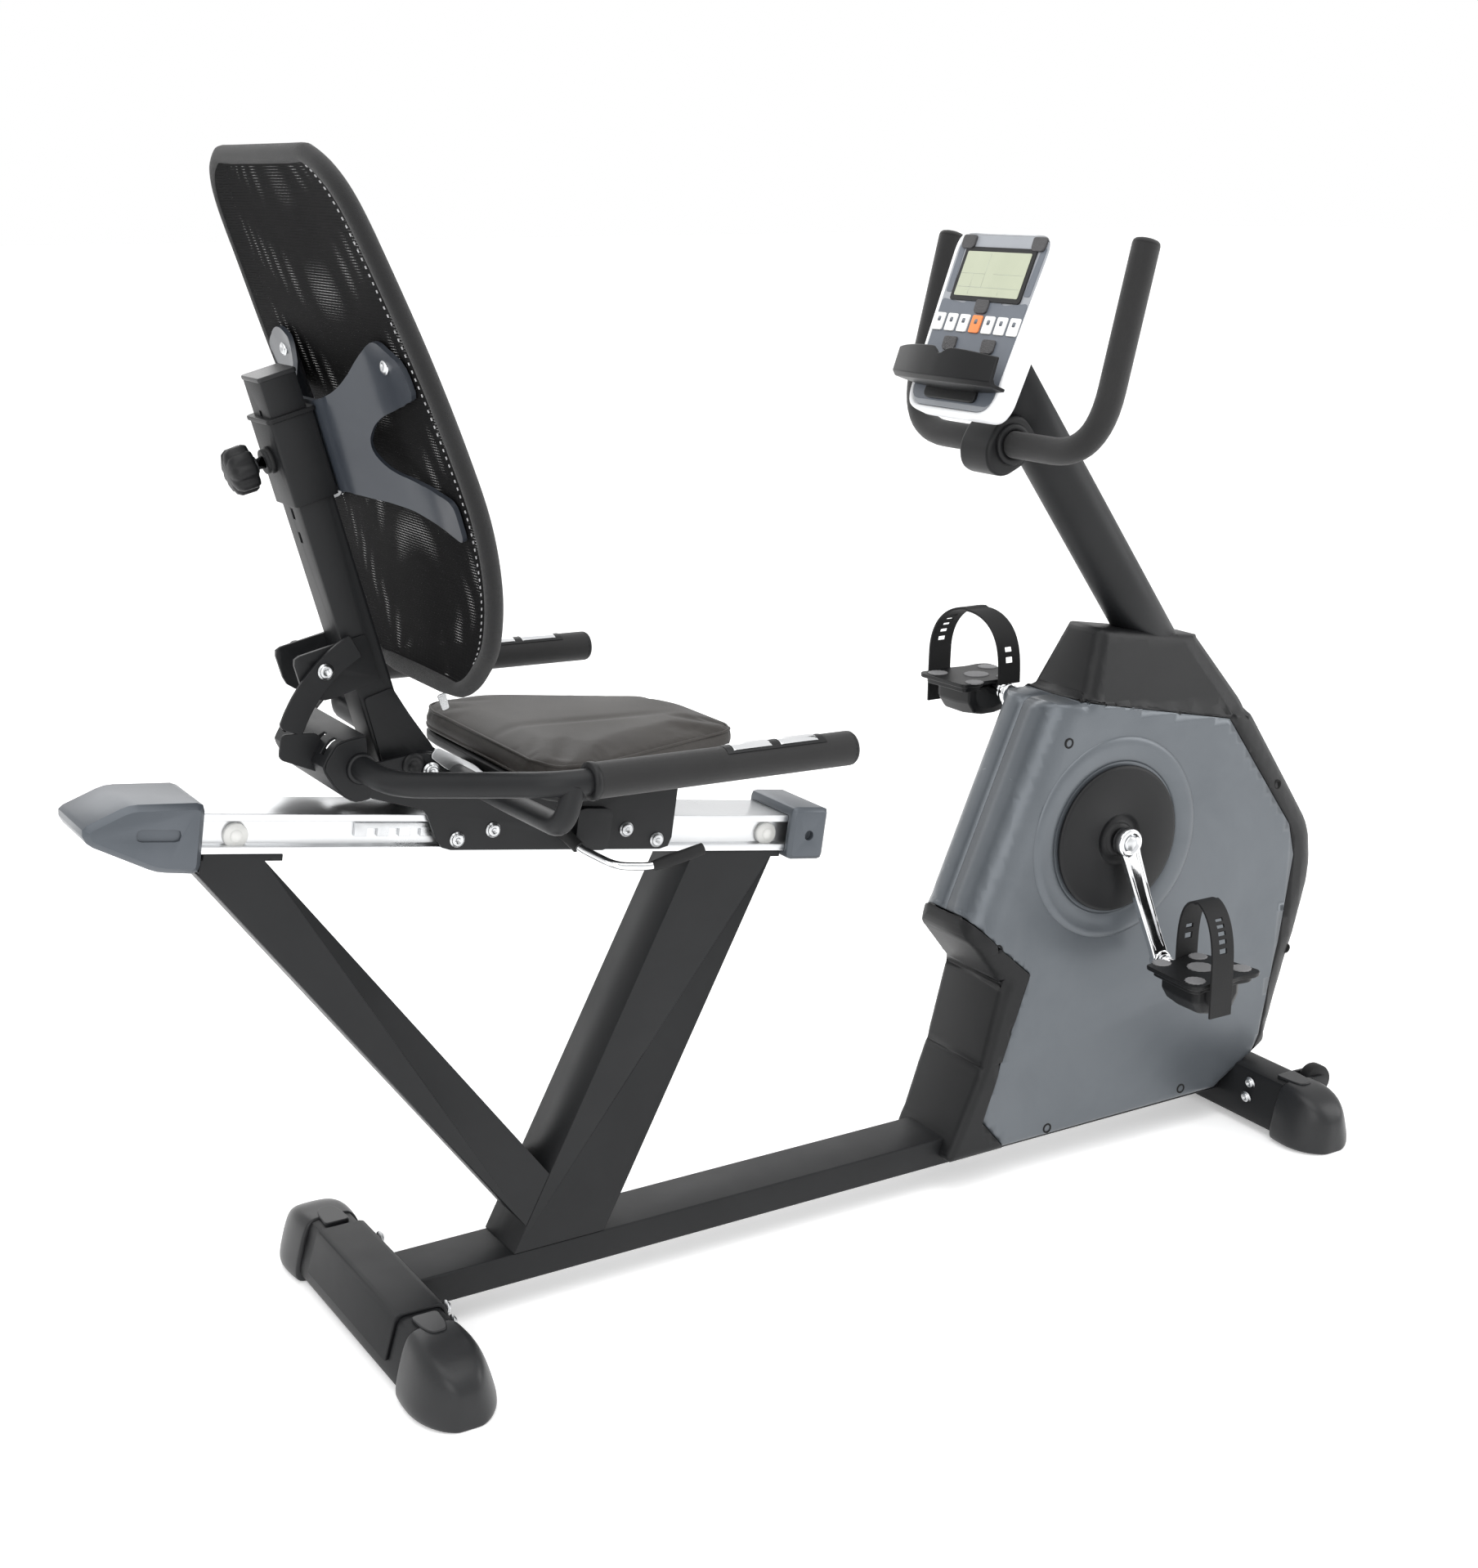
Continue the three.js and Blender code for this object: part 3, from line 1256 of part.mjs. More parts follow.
for (const { name, y } of sides) {
  const discIn = y * (HOUSING.half + 1 + DISC.stand);
  const disc = rod([0, discIn, 0], [0, discIn + y * DISC.thick, 0], DISC.radius, 28, DISC.radius - 2);
  const discBore = rod([0, -crankHubOut - 6, 0], [0, crankHubOut + 6, 0], SPINDLE + GAP, 20);
  piece(`crank_disc_${name}`, cut(solidOf(disc), discBore), TRIM_BLACK, crank);

  const [ex, ez] = [Math.cos(turnOf(y)) * CRANK.length, Math.sin(turnOf(y)) * CRANK.length];
  const hub = y * CRANK.hub;
  const end = y * (CRANK.hub + CRANK.flare);
  const half = CRANK.thick / 2;
  const side = [-Math.sin(turnOf(y)), Math.cos(turnOf(y))];
  const section = (x, z, mid, wide) => [
    [x + side[0] * wide, mid - half, z + side[1] * wide],
    [x + side[0] * wide, mid + half, z + side[1] * wide],
    [x - side[0] * wide, mid + half, z - side[1] * wide],
    [x - side[0] * wide, mid - half, z - side[1] * wide],
  ];
  const arm = loft([section(0, 0, hub, 14), section(ex * 0.2, ez * 0.2, hub, 13), section(ex, ez, end, 10)]);
  const armBody = join(
    arm,
    rod([0, hub - half, 0], [0, hub + half, 0], 18, 24),
    rod([ex, end - half, ez], [ex, end + half, ez], 14, 20),
    rod([ex, end, ez], [ex, y * (PEDAL.outer - 6), ez], PEDAL.axle, 16),
  );
  piece(`crank_arm_${name}`, cut(armBody, discBore), CHROME, crank);

  // The pedal turns on its axle: a long platform with a weighted underside.
  const pedal = new THREE.Group();
  pedal.position.set(ex, 0, ez);
  crank.add(pedal);
  const reach = [y * PEDAL.inner, y * PEDAL.outer];
  const [low, high] = [Math.min(...reach), Math.max(...reach)];
  const mid = (low + high) / 2;
  const tread = alongZ(
    outline([[-PEDAL.half, low], [PEDAL.half, low], [PEDAL.half + 4, high], [-PEDAL.half - 4, high]], 12),
    5,
    12,
  );
  const body = alongY(outline([[-36, 8], [34, 8], [24, -32], [0, -44], [-26, -30]], 12), low + 5, high - 5);
  const axleRoom = rod([0, -300, 0], [0, 300, 0], PEDAL.axle + GAP, 20);
  piece(`pedal_${name}`, cut(join(tread, body), axleRoom), TRIM_BLACK, pedal);

  // The strap crosses the foot: out of the inner side, over the top, and down past the outer side.
  const [strapIn, strapOut] = [PEDAL.inner - GAP, PEDAL.outer + GAP];
  const across = (strapOut - strapIn) / 2;
  const hoopOf = (out) => {
    const points = [[strapIn - out, STRAP.innerFoot], [strapIn - out, 34]];
    for (let i = 1; i < 12; i++) {
      const a = Math.PI - (Math.PI * i) / 12;
      points.push([
        mid * y + (across + out) * Math.cos(a),
        34 + (STRAP.crown - 34 - STRAP.thick + out) * Math.sin(a),
      ]);
    }
    points.push([strapOut + out, 34], [strapOut + out, STRAP.outerFoot]);
    return points;
  };
  const band = [...hoopOf(STRAP.thick), ...hoopOf(0).reverse()].map(([w, z]) => [w * y, z]);
  const strap = alongX(outline(band), -STRAP.half, STRAP.half);
  const slant = new THREE.Matrix4().makeShear(0, 0, -y * STRAP.slant, 0, 0, 0);
  slant.setPosition(STRAP.slant * mid * y, 0, 0);
  piece(`pedal_strap_${name}`, strap.applyMatrix4(slant), TRIM_BLACK, pedal);
}

// ---------------------------------------------------------------- flywheel, belt and brake
const smallLow = PULLEY.y - PULLEY.half;
const smallHigh = PULLEY.y + PULLEY.half;
const flywheel = piece(
  "flywheel",
  join(
    wheelOf(FLYWHEEL.radius, -FLYWHEEL.half, FLYWHEEL.half, 1),
    rod([0, -innerPlateOut - 8, 0], [0, smallHigh + 4, 0], AXLE, 20),
    rod([0, -INNER_PLATE.in + 4, 0], [0, INNER_PLATE.in - 4, 0], 16, 24),
    rod([0, smallLow, 0], [0, smallHigh, 0], PULLEY.small, 28),
  ),
  STEEL,
);
flywheel.position.set(FLYWHEEL.x, 0, FLYWHEEL.z);

// The belt's two straight runs touch both pulleys on the outside.
function beltOutline(extra) {
  const run = new THREE.Vector2(FLYWHEEL.x - CRANK.x, FLYWHEEL.z - CRANK.z);
  const heading = run.angle();
  const lead = Math.acos((PULLEY.radius - PULLEY.small) / run.length());
  const shape = new THREE.Shape();
  shape.absarc(CRANK.x, CRANK.z, PULLEY.radius + extra, heading + lead, heading - lead + 2 * Math.PI);
  shape.absarc(FLYWHEEL.x, FLYWHEEL.z, PULLEY.small + extra, heading - lead, heading + lead);
  shape.closePath();
  return shape;
}
const beltLow = PULLEY.y - PULLEY.half + 3;
const beltHigh = PULLEY.y + PULLEY.half - 3;
const beltBody = solidOf(alongY(beltOutline(GAP + 4), beltLow, beltHigh, 12));
piece("drive_belt", cut(beltBody, alongY(beltOutline(GAP + 1), beltLow - 1, beltHigh + 1, 12)), TRIM_BLACK);

const magnetBand = new THREE.Shape();
magnetBand.absarc(0, 0, FLYWHEEL.radius + 14, rad(12), rad(66));
magnetBand.absarc(0, 0, FLYWHEEL.radius + 3, rad(66), rad(12), true);
magnetBand.closePath();
const magnetArc = alongY(magnetBand, -12, 12, 8).translate(FLYWHEEL.x, 0, FLYWHEEL.z);
const magnetHub = rod([magnetPin[0], -12, magnetPin[1]], [magnetPin[0], 12, magnetPin[1]], 12, 20);
const magnetBore = rod([magnetPin[0], -30, magnetPin[1]], [magnetPin[0], 30, magnetPin[1]], 5 + GAP, 20);
const magnetLink = alongY(
  outline([
    [FLYWHEEL.x + 46, FLYWHEEL.z + 106],
    [FLYWHEEL.x + 62, FLYWHEEL.z + 106],
    [magnetPin[0] + 11, magnetPin[1]],
    [magnetPin[0] - 9, magnetPin[1]],
  ]),
  -12,
  12,
);
const rimRoom = rod([FLYWHEEL.x, -30, FLYWHEEL.z], [FLYWHEEL.x, 30, FLYWHEEL.z], FLYWHEEL.radius + 3, 60);
piece("brake_magnet", cut(join(magnetArc, magnetHub, magnetLink), magnetBore, rimRoom), STEEL);

// ---------------------------------------------------------------- handlebar and clamp
const barCentre = mastPoint(BAR.along, MAST.radius + BAR.radius + GAP);
const [leanX, leanZ] = [Math.sin(rad(BAR.lean)), Math.cos(rad(BAR.lean))];
const barPoint = (y, rise) => [barCentre[0] + leanX * rise, y, barCentre[2] + leanZ * rise];
const bar = bentBar(
  [
    barPoint(-BAR.half, BAR.rise),
    barPoint(-BAR.half, 0),
    barPoint(BAR.half, 0),
    barPoint(BAR.half, BAR.rise),
  ],
  BAR.radius,
  BAR.bend,
  30,
  12,
);
piece("handlebar", bar, FOAM_BLACK);
const clampHalf = 34;
const clamp = new THREE.BoxGeometry(54, 2 * clampHalf, 62);
clamp.rotateY(-rad(MAST.lean)).translate(barCentre[0] - 2, 0, barCentre[2] - 2);
piece(
  "handlebar_clamp",
  cut(
    solidOf(clamp),
    rod([barCentre[0], -99, barCentre[2]], [barCentre[0], 99, barCentre[2]], BAR.radius + GAP + 0.2, 28),
    rod(mastPoint(0), mastPoint(700), MAST.radius + GAP + 0.2, 40),
  ),
  TRIM_BLACK,
);

// ---------------------------------------------------------------- console
const consoleGroup = new THREE.Group();
consoleGroup.position.set(CONSOLE.x, 0, CONSOLE.z);
consoleGroup.rotation.y = rad(CONSOLE.tilt);
bike.add(consoleGroup);
const consoleOutline = (grow) => [
  [-CONSOLE.lowHalf - grow, CONSOLE.low - grow, 30],
  [CONSOLE.lowHalf + grow, CONSOLE.low - grow, 30],
  [CONSOLE.topHalf + grow, CONSOLE.top + grow, 24],
  [-CONSOLE.topHalf - grow, CONSOLE.top + grow, 24],
];
const RIM = 4;
const RIM_STAND = 0.5;
piece(
  "console_housing",
  cut(
    solidOf(alongX(outline(consoleOutline(0)), -RIM_STAND, CONSOLE_DEPTH, 4, 3)),
    alongX(outline(consoleOutline(-RIM)), -9, FACE_THICK + GAP, 4),
  ),
  WHITE_SHELL,
  consoleGroup,
);
const BUTTONS = [
  ["upper_right", -68, 189],
  ["upper_left", 68, 189],
  ["enter", 0, 109],
  ["lower_right", -38, 61],
  ["lower_left", 38, 61],
];
const buttonShape = (y, z, grow) =>
  outline(
    [
      [y - BUTTON.half - grow, z - BUTTON.high - grow],
      [y + BUTTON.half + grow, z - BUTTON.high - grow],
      [y + BUTTON.half + grow, z + BUTTON.high + grow],
      [y - BUTTON.half - grow, z + BUTTON.high + grow],
    ],
    5,
  );
const displayBlock = (x0, x1, grow) =>
  block(x0, x1, -DISPLAY.half - grow, DISPLAY.half + grow, DISPLAY.low - grow, DISPLAY.high + grow);
piece(
  "console_face",
  cut(
    solidOf(alongX(outline(consoleOutline(-RIM - GAP)), 0, FACE_THICK, 4)),
    displayBlock(-9, 9, GAP),
    ...BUTTONS.map(([, y, z]) => alongX(buttonShape(y, z, GAP), -9, 9)),
  ),
  PANEL_GREY,
  consoleGroup,
);
piece("console_display", displayBlock(0.6, FACE_THICK, 0), LCD_GREEN, consoleGroup);
for (const [name, y, z] of BUTTONS)
  piece(
    `button_${name}`,
    alongX(buttonShape(y, z, 0), -BUTTON.stand, BUTTON.depth - BUTTON.stand),
    TRIM_BLACK,
    consoleGroup,
  );
const keySpan = ((KEY.count - 1) / 2) * KEY.pitch;
const keys = [block(-1.1, -GAP, -keySpan - KEY.half, keySpan + KEY.half, KEY.z - 5, KEY.z + 5)];
for (let i = 0; i < KEY.count; i++) {
  const y = -keySpan + i * KEY.pitch;
  keys.push(block(-2, -GAP, y - KEY.half, y + KEY.half, KEY.z - KEY.high, KEY.z + KEY.high));
}
piece("key_strip", join(...keys), KEY_WHITE, consoleGroup);
const trayBack = -RIM_STAND - GAP;
const trayPlan = [
  [trayBack, -98],
  [-30, -98, 10],
  [-48, -60, 30],
  [-52, 0, 30],
  [-48, 60, 30],
  [-30, 98, 10],
  [trayBack, 98],
];
const TRAY = { low: -2, high: 46 };
piece(
  "console_tray",
  cut(
    solidOf(alongZ(outline(trayPlan), TRAY.low, TRAY.high)),
    block(-46, -3, 24, 52, TRAY.high - 12, TRAY.high + 1),
    block(-30, -2, -80, 80, TRAY.high - 6, TRAY.high + 1),
  ),
  TRIM_BLACK,
  consoleGroup,
);

// ---------------------------------------------------------------- origin
// The origin sits at the middle of the bike's box, on the floor.
const box = new THREE.Box3().setFromObject(bike, true);
bike.position.set(-(box.min.x + box.max.x) / 2, 0, -box.min.z);

export default bike;
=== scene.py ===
# %% [markdown]
# A recumbent exercise bike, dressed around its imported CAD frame.
# The CAD frame gives every piece its place and its motion, and this script gives the pieces the look of the
# real thing.
# Shapes are worked out in millimetres from the rear foot, as a bike maker would measure them, and turned to
# metres once.

# %% Load the CAD frame
import math

import bmesh
import bpy
from mathutils import Matrix, Vector
from mathutils.bvhtree import BVHTree


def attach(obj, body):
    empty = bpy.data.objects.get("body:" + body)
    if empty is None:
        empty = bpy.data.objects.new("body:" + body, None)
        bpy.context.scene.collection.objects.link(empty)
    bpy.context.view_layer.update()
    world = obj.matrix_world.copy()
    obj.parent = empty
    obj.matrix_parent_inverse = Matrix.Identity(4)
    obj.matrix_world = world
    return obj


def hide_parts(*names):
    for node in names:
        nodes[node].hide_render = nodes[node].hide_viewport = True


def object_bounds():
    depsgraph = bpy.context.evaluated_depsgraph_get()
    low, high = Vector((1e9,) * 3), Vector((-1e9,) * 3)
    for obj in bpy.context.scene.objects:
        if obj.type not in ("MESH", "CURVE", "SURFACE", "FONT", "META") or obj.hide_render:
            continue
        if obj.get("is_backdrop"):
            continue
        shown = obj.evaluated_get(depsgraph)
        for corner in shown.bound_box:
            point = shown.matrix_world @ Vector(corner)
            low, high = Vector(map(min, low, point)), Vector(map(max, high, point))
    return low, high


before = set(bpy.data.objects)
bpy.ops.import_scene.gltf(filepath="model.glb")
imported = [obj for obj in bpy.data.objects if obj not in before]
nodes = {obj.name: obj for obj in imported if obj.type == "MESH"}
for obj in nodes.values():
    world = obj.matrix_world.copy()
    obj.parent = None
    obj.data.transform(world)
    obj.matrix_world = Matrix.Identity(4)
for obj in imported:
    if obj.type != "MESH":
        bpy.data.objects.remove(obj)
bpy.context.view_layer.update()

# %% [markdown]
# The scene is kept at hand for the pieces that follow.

scene = bpy.context.scene

# %% [markdown]
# The bike stands on a wide white studio floor, under a white sky and large soft lights.
# The camera looks down a little from the rider's right, with a normal lens.

# %% Floor, lights and camera
REAR_FOOT = Vector((-0.54656, 0.0, 0.0))


def placed(name, data):
    obj = bpy.data.objects.new(name, data)
    scene.collection.objects.link(obj)
    return obj


def smoothed(mesh):
    mesh.polygons.foreach_set("use_smooth", [True] * len(mesh.polygons))


def object_from(work, name):
    """A smooth-shaded object made from a bmesh, which is then freed."""
    mesh = bpy.data.meshes.new(name)
    work.to_mesh(mesh)
    work.free()
    smoothed(mesh)
    return placed(name, mesh)


def studio_view():
    cam_data = bpy.data.cameras.new("camera")
    cam_data.sensor_width = 36
    cam_data.lens = 50.31
    cam = placed("camera", cam_data)
    azimuth, elevation = math.radians(-31.173), math.radians(15.559)
    back = Vector((
        math.sin(azimuth) * math.cos(elevation), -math.cos(azimuth) * math.cos(elevation),
        math.sin(elevation),
    ))
    cam.location = REAR_FOOT + Vector((-0.82, -2.1504, 1.2821))
    cam.rotation_mode = "QUATERNION"
    cam.rotation_quaternion = (-back).to_track_quat("-Z", "Y")
    scene.camera = cam


def soft_light(name, place, target, size, power):
    data = bpy.data.lights.new(name, "AREA")
    data.shape = "RECTANGLE"
    data.size, data.size_y = size
    data.energy = power
    light = placed(name, data)
    light.location = place
    light.rotation_euler = (Vector(target) - Vector(place)).to_track_quat("-Z", "Y").to_euler()


studio_view()
soft_light("overhead", (-0.4, -0.6, 3.4), (0, 0, 0.4), (3.6, 3.0), 62)
soft_light("front_left", (-3.0, -3.2, 2.2), (0, 0, 0.5), (2.6, 2.6), 48)
soft_light("right_rim", (3.2, -1.6, 1.8), (0.3, 0, 0.6), (1.4, 2.4), 34)
soft_light("back_rim", (0.4, 3.4, 2.4), (0, 0, 0.7), (3.2, 1.6), 26)

world = bpy.data.worlds.new("studio")
scene.world = world
world.use_nodes = True
sky = world.node_tree.nodes["Background"].inputs
sky["Color"].default_value = (1.0, 1.0, 1.0, 1)
sky["Strength"].default_value = 1.0
scene.view_settings.view_transform = "Standard"

work = bmesh.new()
bmesh.ops.create_grid(work, x_segments=2, y_segments=2, size=40)
ground = object_from(work, "studio_floor")
ground.location = (0, 0, -0.0005)
ground_look = bpy.data.materials.new("studio_floor")
ground_look.use_nodes = True
paper = ground_look.node_tree.nodes["Principled BSDF"].inputs
paper["Base Color"].default_value = (0.93, 0.93, 0.93, 1)
paper["Roughness"].default_value = 0.9
paper["Emission Color"].default_value = (1, 1, 1, 1)
paper["Emission Strength"].default_value = 0.3
ground.data.materials.append(ground_look)
ground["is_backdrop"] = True

# %% [markdown]
# The finishes are built from a few shared patterns.
# Grain is the fine texture of powder coat and moulded plastic, and it drives both the surface's bumps and
# its roughness.
# Tint drifts a colour slowly over a piece, as dust, handling and uneven dye do.

# %% Node helpers and shared patterns
def group(name, inputs, outputs):
    tree = bpy.data.node_groups.new(name, "ShaderNodeTree")
    for label, kind, value in inputs:
        socket = tree.interface.new_socket(label, in_out="INPUT", socket_type=kind)
        socket.default_value = value
    for label, kind in outputs:
        tree.interface.new_socket(label, in_out="OUTPUT", socket_type=kind)
    return tree, tree.nodes.new("NodeGroupInput"), tree.nodes.new("NodeGroupOutput")


def node(tree, kind, values=None, **settings):
    made = tree.nodes.new(kind)
    for key, value in settings.items():
        setattr(made, key, value)
    for key, value in (values or {}).items():
        made.inputs[key].default_value = value
    return made


def grain_group():
    tree, given, out = group(
        "grain",
        [
            ("Size", "NodeSocketFloat", 900.0), ("Depth", "NodeSocketFloat", 0.1),
            ("Low", "NodeSocketFloat", 0.4), ("High", "NodeSocketFloat", 0.5),
        ],
        [("Normal", "NodeSocketVector"), ("Roughness", "NodeSocketFloat")],
    )
    place = node(tree, "ShaderNodeTexCoord")
    fine = node(tree, "ShaderNodeTexNoise", {"Detail": 3.0, "Roughness": 0.65})
    broad = node(tree, "ShaderNodeTexNoise", {"Scale": 7.0, "Detail": 5.0})
    mixed = node(tree, "ShaderNodeMath", {1: 0.35}, operation="MULTIPLY_ADD")
    bump = node(tree, "ShaderNodeBump", {"Distance": 0.0006})
    rough = node(tree, "ShaderNodeMapRange")
    link = tree.links.new
    link(place.outputs["Object"], fine.inputs["Vector"])
    link(place.outputs["Object"], broad.inputs["Vector"])
    link(given.outputs["Size"], fine.inputs["Scale"])
    link(fine.outputs["Fac"], mixed.inputs[0])
    link(broad.outputs["Fac"], mixed.inputs[2])
    link(given.outputs["Depth"], bump.inputs["Strength"])
    link(fine.outputs["Fac"], bump.inputs["Height"])
    link(mixed.outputs[0], rough.inputs["Value"])
    rough.inputs["From Min"].default_value = 0.4
    rough.inputs["From Max"].default_value = 1.0
    link(given.outputs["Low"], rough.inputs["To Min"])
    link(given.outputs["High"], rough.inputs["To Max"])
    link(bump.outputs["Normal"], out.inputs["Normal"])
    link(rough.outputs["Result"], out.inputs["Roughness"])
    return tree


def tint_group():
    tree, given, out = group(
        "tint",
        [
            ("Dark", "NodeSocketColor", (0, 0, 0, 1)), ("Light", "NodeSocketColor", (1, 1, 1, 1)),
            ("Size", "NodeSocketFloat", 5.0),
        ],
        [("Color", "NodeSocketColor"), ("Mask", "NodeSocketFloat")],
    )
    place = node(tree, "ShaderNodeTexCoord")
    drift = node(tree, "ShaderNodeTexNoise", {"Detail": 6.0, "Roughness": 0.6, "Distortion": 0.4})
    mask = node(tree, "ShaderNodeMapRange", {"From Min": 0.35, "From Max": 0.65})
    mix = node(tree, "ShaderNodeMix", data_type="RGBA")
    link = tree.links.new
    link(place.outputs["Object"], drift.inputs["Vector"])
    link(given.outputs["Size"], drift.inputs["Scale"])
    link(drift.outputs["Fac"], mask.inputs["Value"])
    link(mask.outputs["Result"], mix.inputs[0])
    link(given.outputs["Dark"], mix.inputs[6])
    link(given.outputs["Light"], mix.inputs[7])
    link(mix.outputs[2], out.inputs["Color"])
    link(mask.outputs["Result"], out.inputs["Mask"])
    return tree


grain = grain_group()
tint = tint_group()


def use_group(tree, shared, **values):
    made = tree.nodes.new("ShaderNodeGroup")
    made.node_tree = shared
    for key, value in values.items():
        made.inputs[key].default_value = value
    return made


def finish_of(name, dark, light, rough, size=900.0, depth=0.1, drift=5.0, metal=0.0, coat=0.0):
    """A finish whose colour drifts from dark to light and whose roughness runs between two values."""
    made = bpy.data.materials.new(name)
    made.use_nodes = True
    tree = made.node_tree
    shader = tree.nodes["Principled BSDF"]
    colour = use_group(tree, tint, Dark=(*dark, 1), Light=(*light, 1), Size=drift)
    surface = use_group(tree, grain, Size=size, Depth=depth, Low=rough[0], High=rough[1])
    tree.links.new(colour.outputs["Color"], shader.inputs["Base Color"])
    tree.links.new(surface.outputs["Roughness"], shader.inputs["Roughness"])
    tree.links.new(surface.outputs["Normal"], shader.inputs["Normal"])
    shader.inputs["Metallic"].default_value = metal
    shader.inputs["Coat Weight"].default_value = coat
    shader.inputs["Coat Roughness"].default_value = 0.25
    shader.inputs["Specular IOR Level"].default_value = 0.5 if max(light) > 0.05 else 0.28
    return made

# %% [markdown]
# The paint, plastic, rubber and metal of the bike are all made from the two patterns.
# Each finish is a dark and a light colour close to each other, so that a piece looks handled and not flat.

# %% Plain finishes
frame_black = finish_of(
    "frame_black", (0.0050, 0.0054, 0.0062), (0.0085, 0.0090, 0.0100), (0.40, 0.56), 1400, 0.18,
)
plastic_black = finish_of(
    "plastic_black", (0.0036, 0.0038, 0.0044), (0.0062, 0.0065, 0.0072), (0.38, 0.52), 1100, 0.22,
)
cap_grey = finish_of(
    "cap_grey", (0.011, 0.0115, 0.0125), (0.017, 0.0175, 0.019), (0.34, 0.46), 1000, 0.18, coat=0.15,
)
rubber_black = finish_of(
    "rubber_black", (0.006, 0.006, 0.0065), (0.011, 0.011, 0.0115), (0.55, 0.72), 700, 0.35,
)
blue_satin = finish_of(
    "blue_satin", (0.026, 0.031, 0.040), (0.036, 0.042, 0.052), (0.30, 0.42), 1500, 0.06, coat=0.2,
)
blue_plastic = finish_of(
    "blue_plastic", (0.060, 0.070, 0.082), (0.078, 0.088, 0.102), (0.30, 0.42), 1200, 0.08, metal=0.4,
    coat=0.15,
)
housing_grey = finish_of(
    "housing_grey", (0.085, 0.096, 0.108), (0.105, 0.117, 0.130), (0.32, 0.42), 1700, 0.08, metal=0.45,
    coat=0.2,
)
white_shell = finish_of("white_shell", (0.80, 0.81, 0.83), (0.86, 0.87, 0.88), (0.28, 0.40), 1300, 0.06)
panel_grey = finish_of(
    "panel_grey", (0.27, 0.285, 0.31), (0.32, 0.335, 0.36), (0.34, 0.46), 2200, 0.10, metal=0.2,
)
key_white = finish_of("key_white", (0.78, 0.78, 0.76), (0.84, 0.84, 0.82), (0.45, 0.55), 900, 0.10)
key_orange = finish_of("key_orange", (0.80, 0.20, 0.05), (0.88, 0.26, 0.07), (0.45, 0.55), 900, 0.10)
steel = finish_of(
    "steel", (0.52, 0.53, 0.54), (0.64, 0.65, 0.66), (0.22, 0.42), 600, 0.12, drift=22, metal=1.0,
)
chrome = finish_of(
    "chrome", (0.74, 0.75, 0.77), (0.80, 0.81, 0.82), (0.06, 0.16), 300, 0.02, drift=30, metal=1.0,
)
# Near-black painted shade for the screw wells: the wells are shallow cups, so the shade inside a deep screw
# hole is painted into their colour.
painted_well_shade = finish_of("painted_well_shade", (0.006, 0.006, 0.006), (0.010, 0.010, 0.010), (0.8, 0.9), 500, 0.1)
print(len(bpy.data.materials), "finishes so far")

# %% [markdown]
# Some finishes need a pattern of their own.
# The rail is aluminium, drawn along its length, so its scratches are noise stretched along the rail.
# The backrest is a knitted mesh, and real holes in it let the light and the rear layer show through.
# The grips and the bar are closed-cell foam, and the cushion is vinyl with a leather grain.

# %% Finishes with a pattern of their own
def shader_of(made):
    return made.node_tree.nodes["Principled BSDF"]


def drawn_aluminium():
    made = finish_of(
        "drawn_aluminium", (0.66, 0.67, 0.68), (0.74, 0.75, 0.76), (0.24, 0.40), 500, 0.03, metal=1.0,
    )
    tree = made.node_tree
    place = node(tree, "ShaderNodeTexCoord")
    stretch = node(tree, "ShaderNodeMapping", {"Scale": (3.0, 900.0, 900.0)})
    lines = node(tree, "ShaderNodeTexNoise", {"Scale": 1.0, "Detail": 2.0})
    bump = node(tree, "ShaderNodeBump", {"Strength": 0.08, "Distance": 0.0004})
    tree.links.new(place.outputs["Object"], stretch.inputs["Vector"])
    tree.links.new(stretch.outputs["Vector"], lines.inputs["Vector"])
    tree.links.new(lines.outputs["Fac"], bump.inputs["Height"])
    tree.links.new(bump.outputs["Normal"], shader_of(made).inputs["Normal"])
    return made


def cells_finish(name, dark, light, rough, size, depth, drift=6.0):
    """A finish whose bumps are the edges of small cells, as in foam skin and leather grain."""
    made = finish_of(name, dark, light, rough, 900, 0.1, drift)
    tree = made.node_tree
    place = node(tree, "ShaderNodeTexCoord")
    cells = node(tree, "ShaderNodeTexVoronoi", {"Scale": size}, feature="DISTANCE_TO_EDGE")
    soft = node(tree, "ShaderNodeMapRange", {"From Max": 0.25})
    bump = node(tree, "ShaderNodeBump", {"Strength": depth, "Distance": 0.0008})
    tree.links.new(place.outputs["Object"], cells.inputs["Vector"])
    tree.links.new(cells.outputs["Distance"], soft.inputs["Value"])
    tree.links.new(soft.outputs["Result"], bump.inputs["Height"])
    tree.links.new(bump.outputs["Normal"], shader_of(made).inputs["Normal"])
    return made


def knitted_mesh(name, openness):
    """Round holes in a square grid, read from the UV map, which is in metres on the flat cloth."""
    made = finish_of(name, (0.0020, 0.0020, 0.0023), (0.0036, 0.0036, 0.0040), (0.75, 0.9), 900, 0.3)
    tree = made.node_tree
    place = node(tree, "ShaderNodeUVMap", uv_map="cloth")
    cells = node(tree, "ShaderNodeTexVoronoi", {"Scale": 330.0, "Randomness": 0.0}, voronoi_dimensions="2D")
    hole = node(tree, "ShaderNodeMapRange", {"From Min": openness, "From Max": openness + 0.08})
    bump = node(tree, "ShaderNodeBump", {"Strength": 0.6, "Distance": 0.0005})
    tree.links.new(place.outputs["UV"], cells.inputs["Vector"])
    tree.links.new(cells.outputs["Distance"], hole.inputs["Value"])
    tree.links.new(cells.outputs["Distance"], bump.inputs["Height"])
    tree.links.new(hole.outputs["Result"], shader_of(made).inputs["Alpha"])
    tree.links.new(bump.outputs["Normal"], shader_of(made).inputs["Normal"])
    shader_of(made).inputs["Specular IOR Level"].default_value = 0.12
    return made


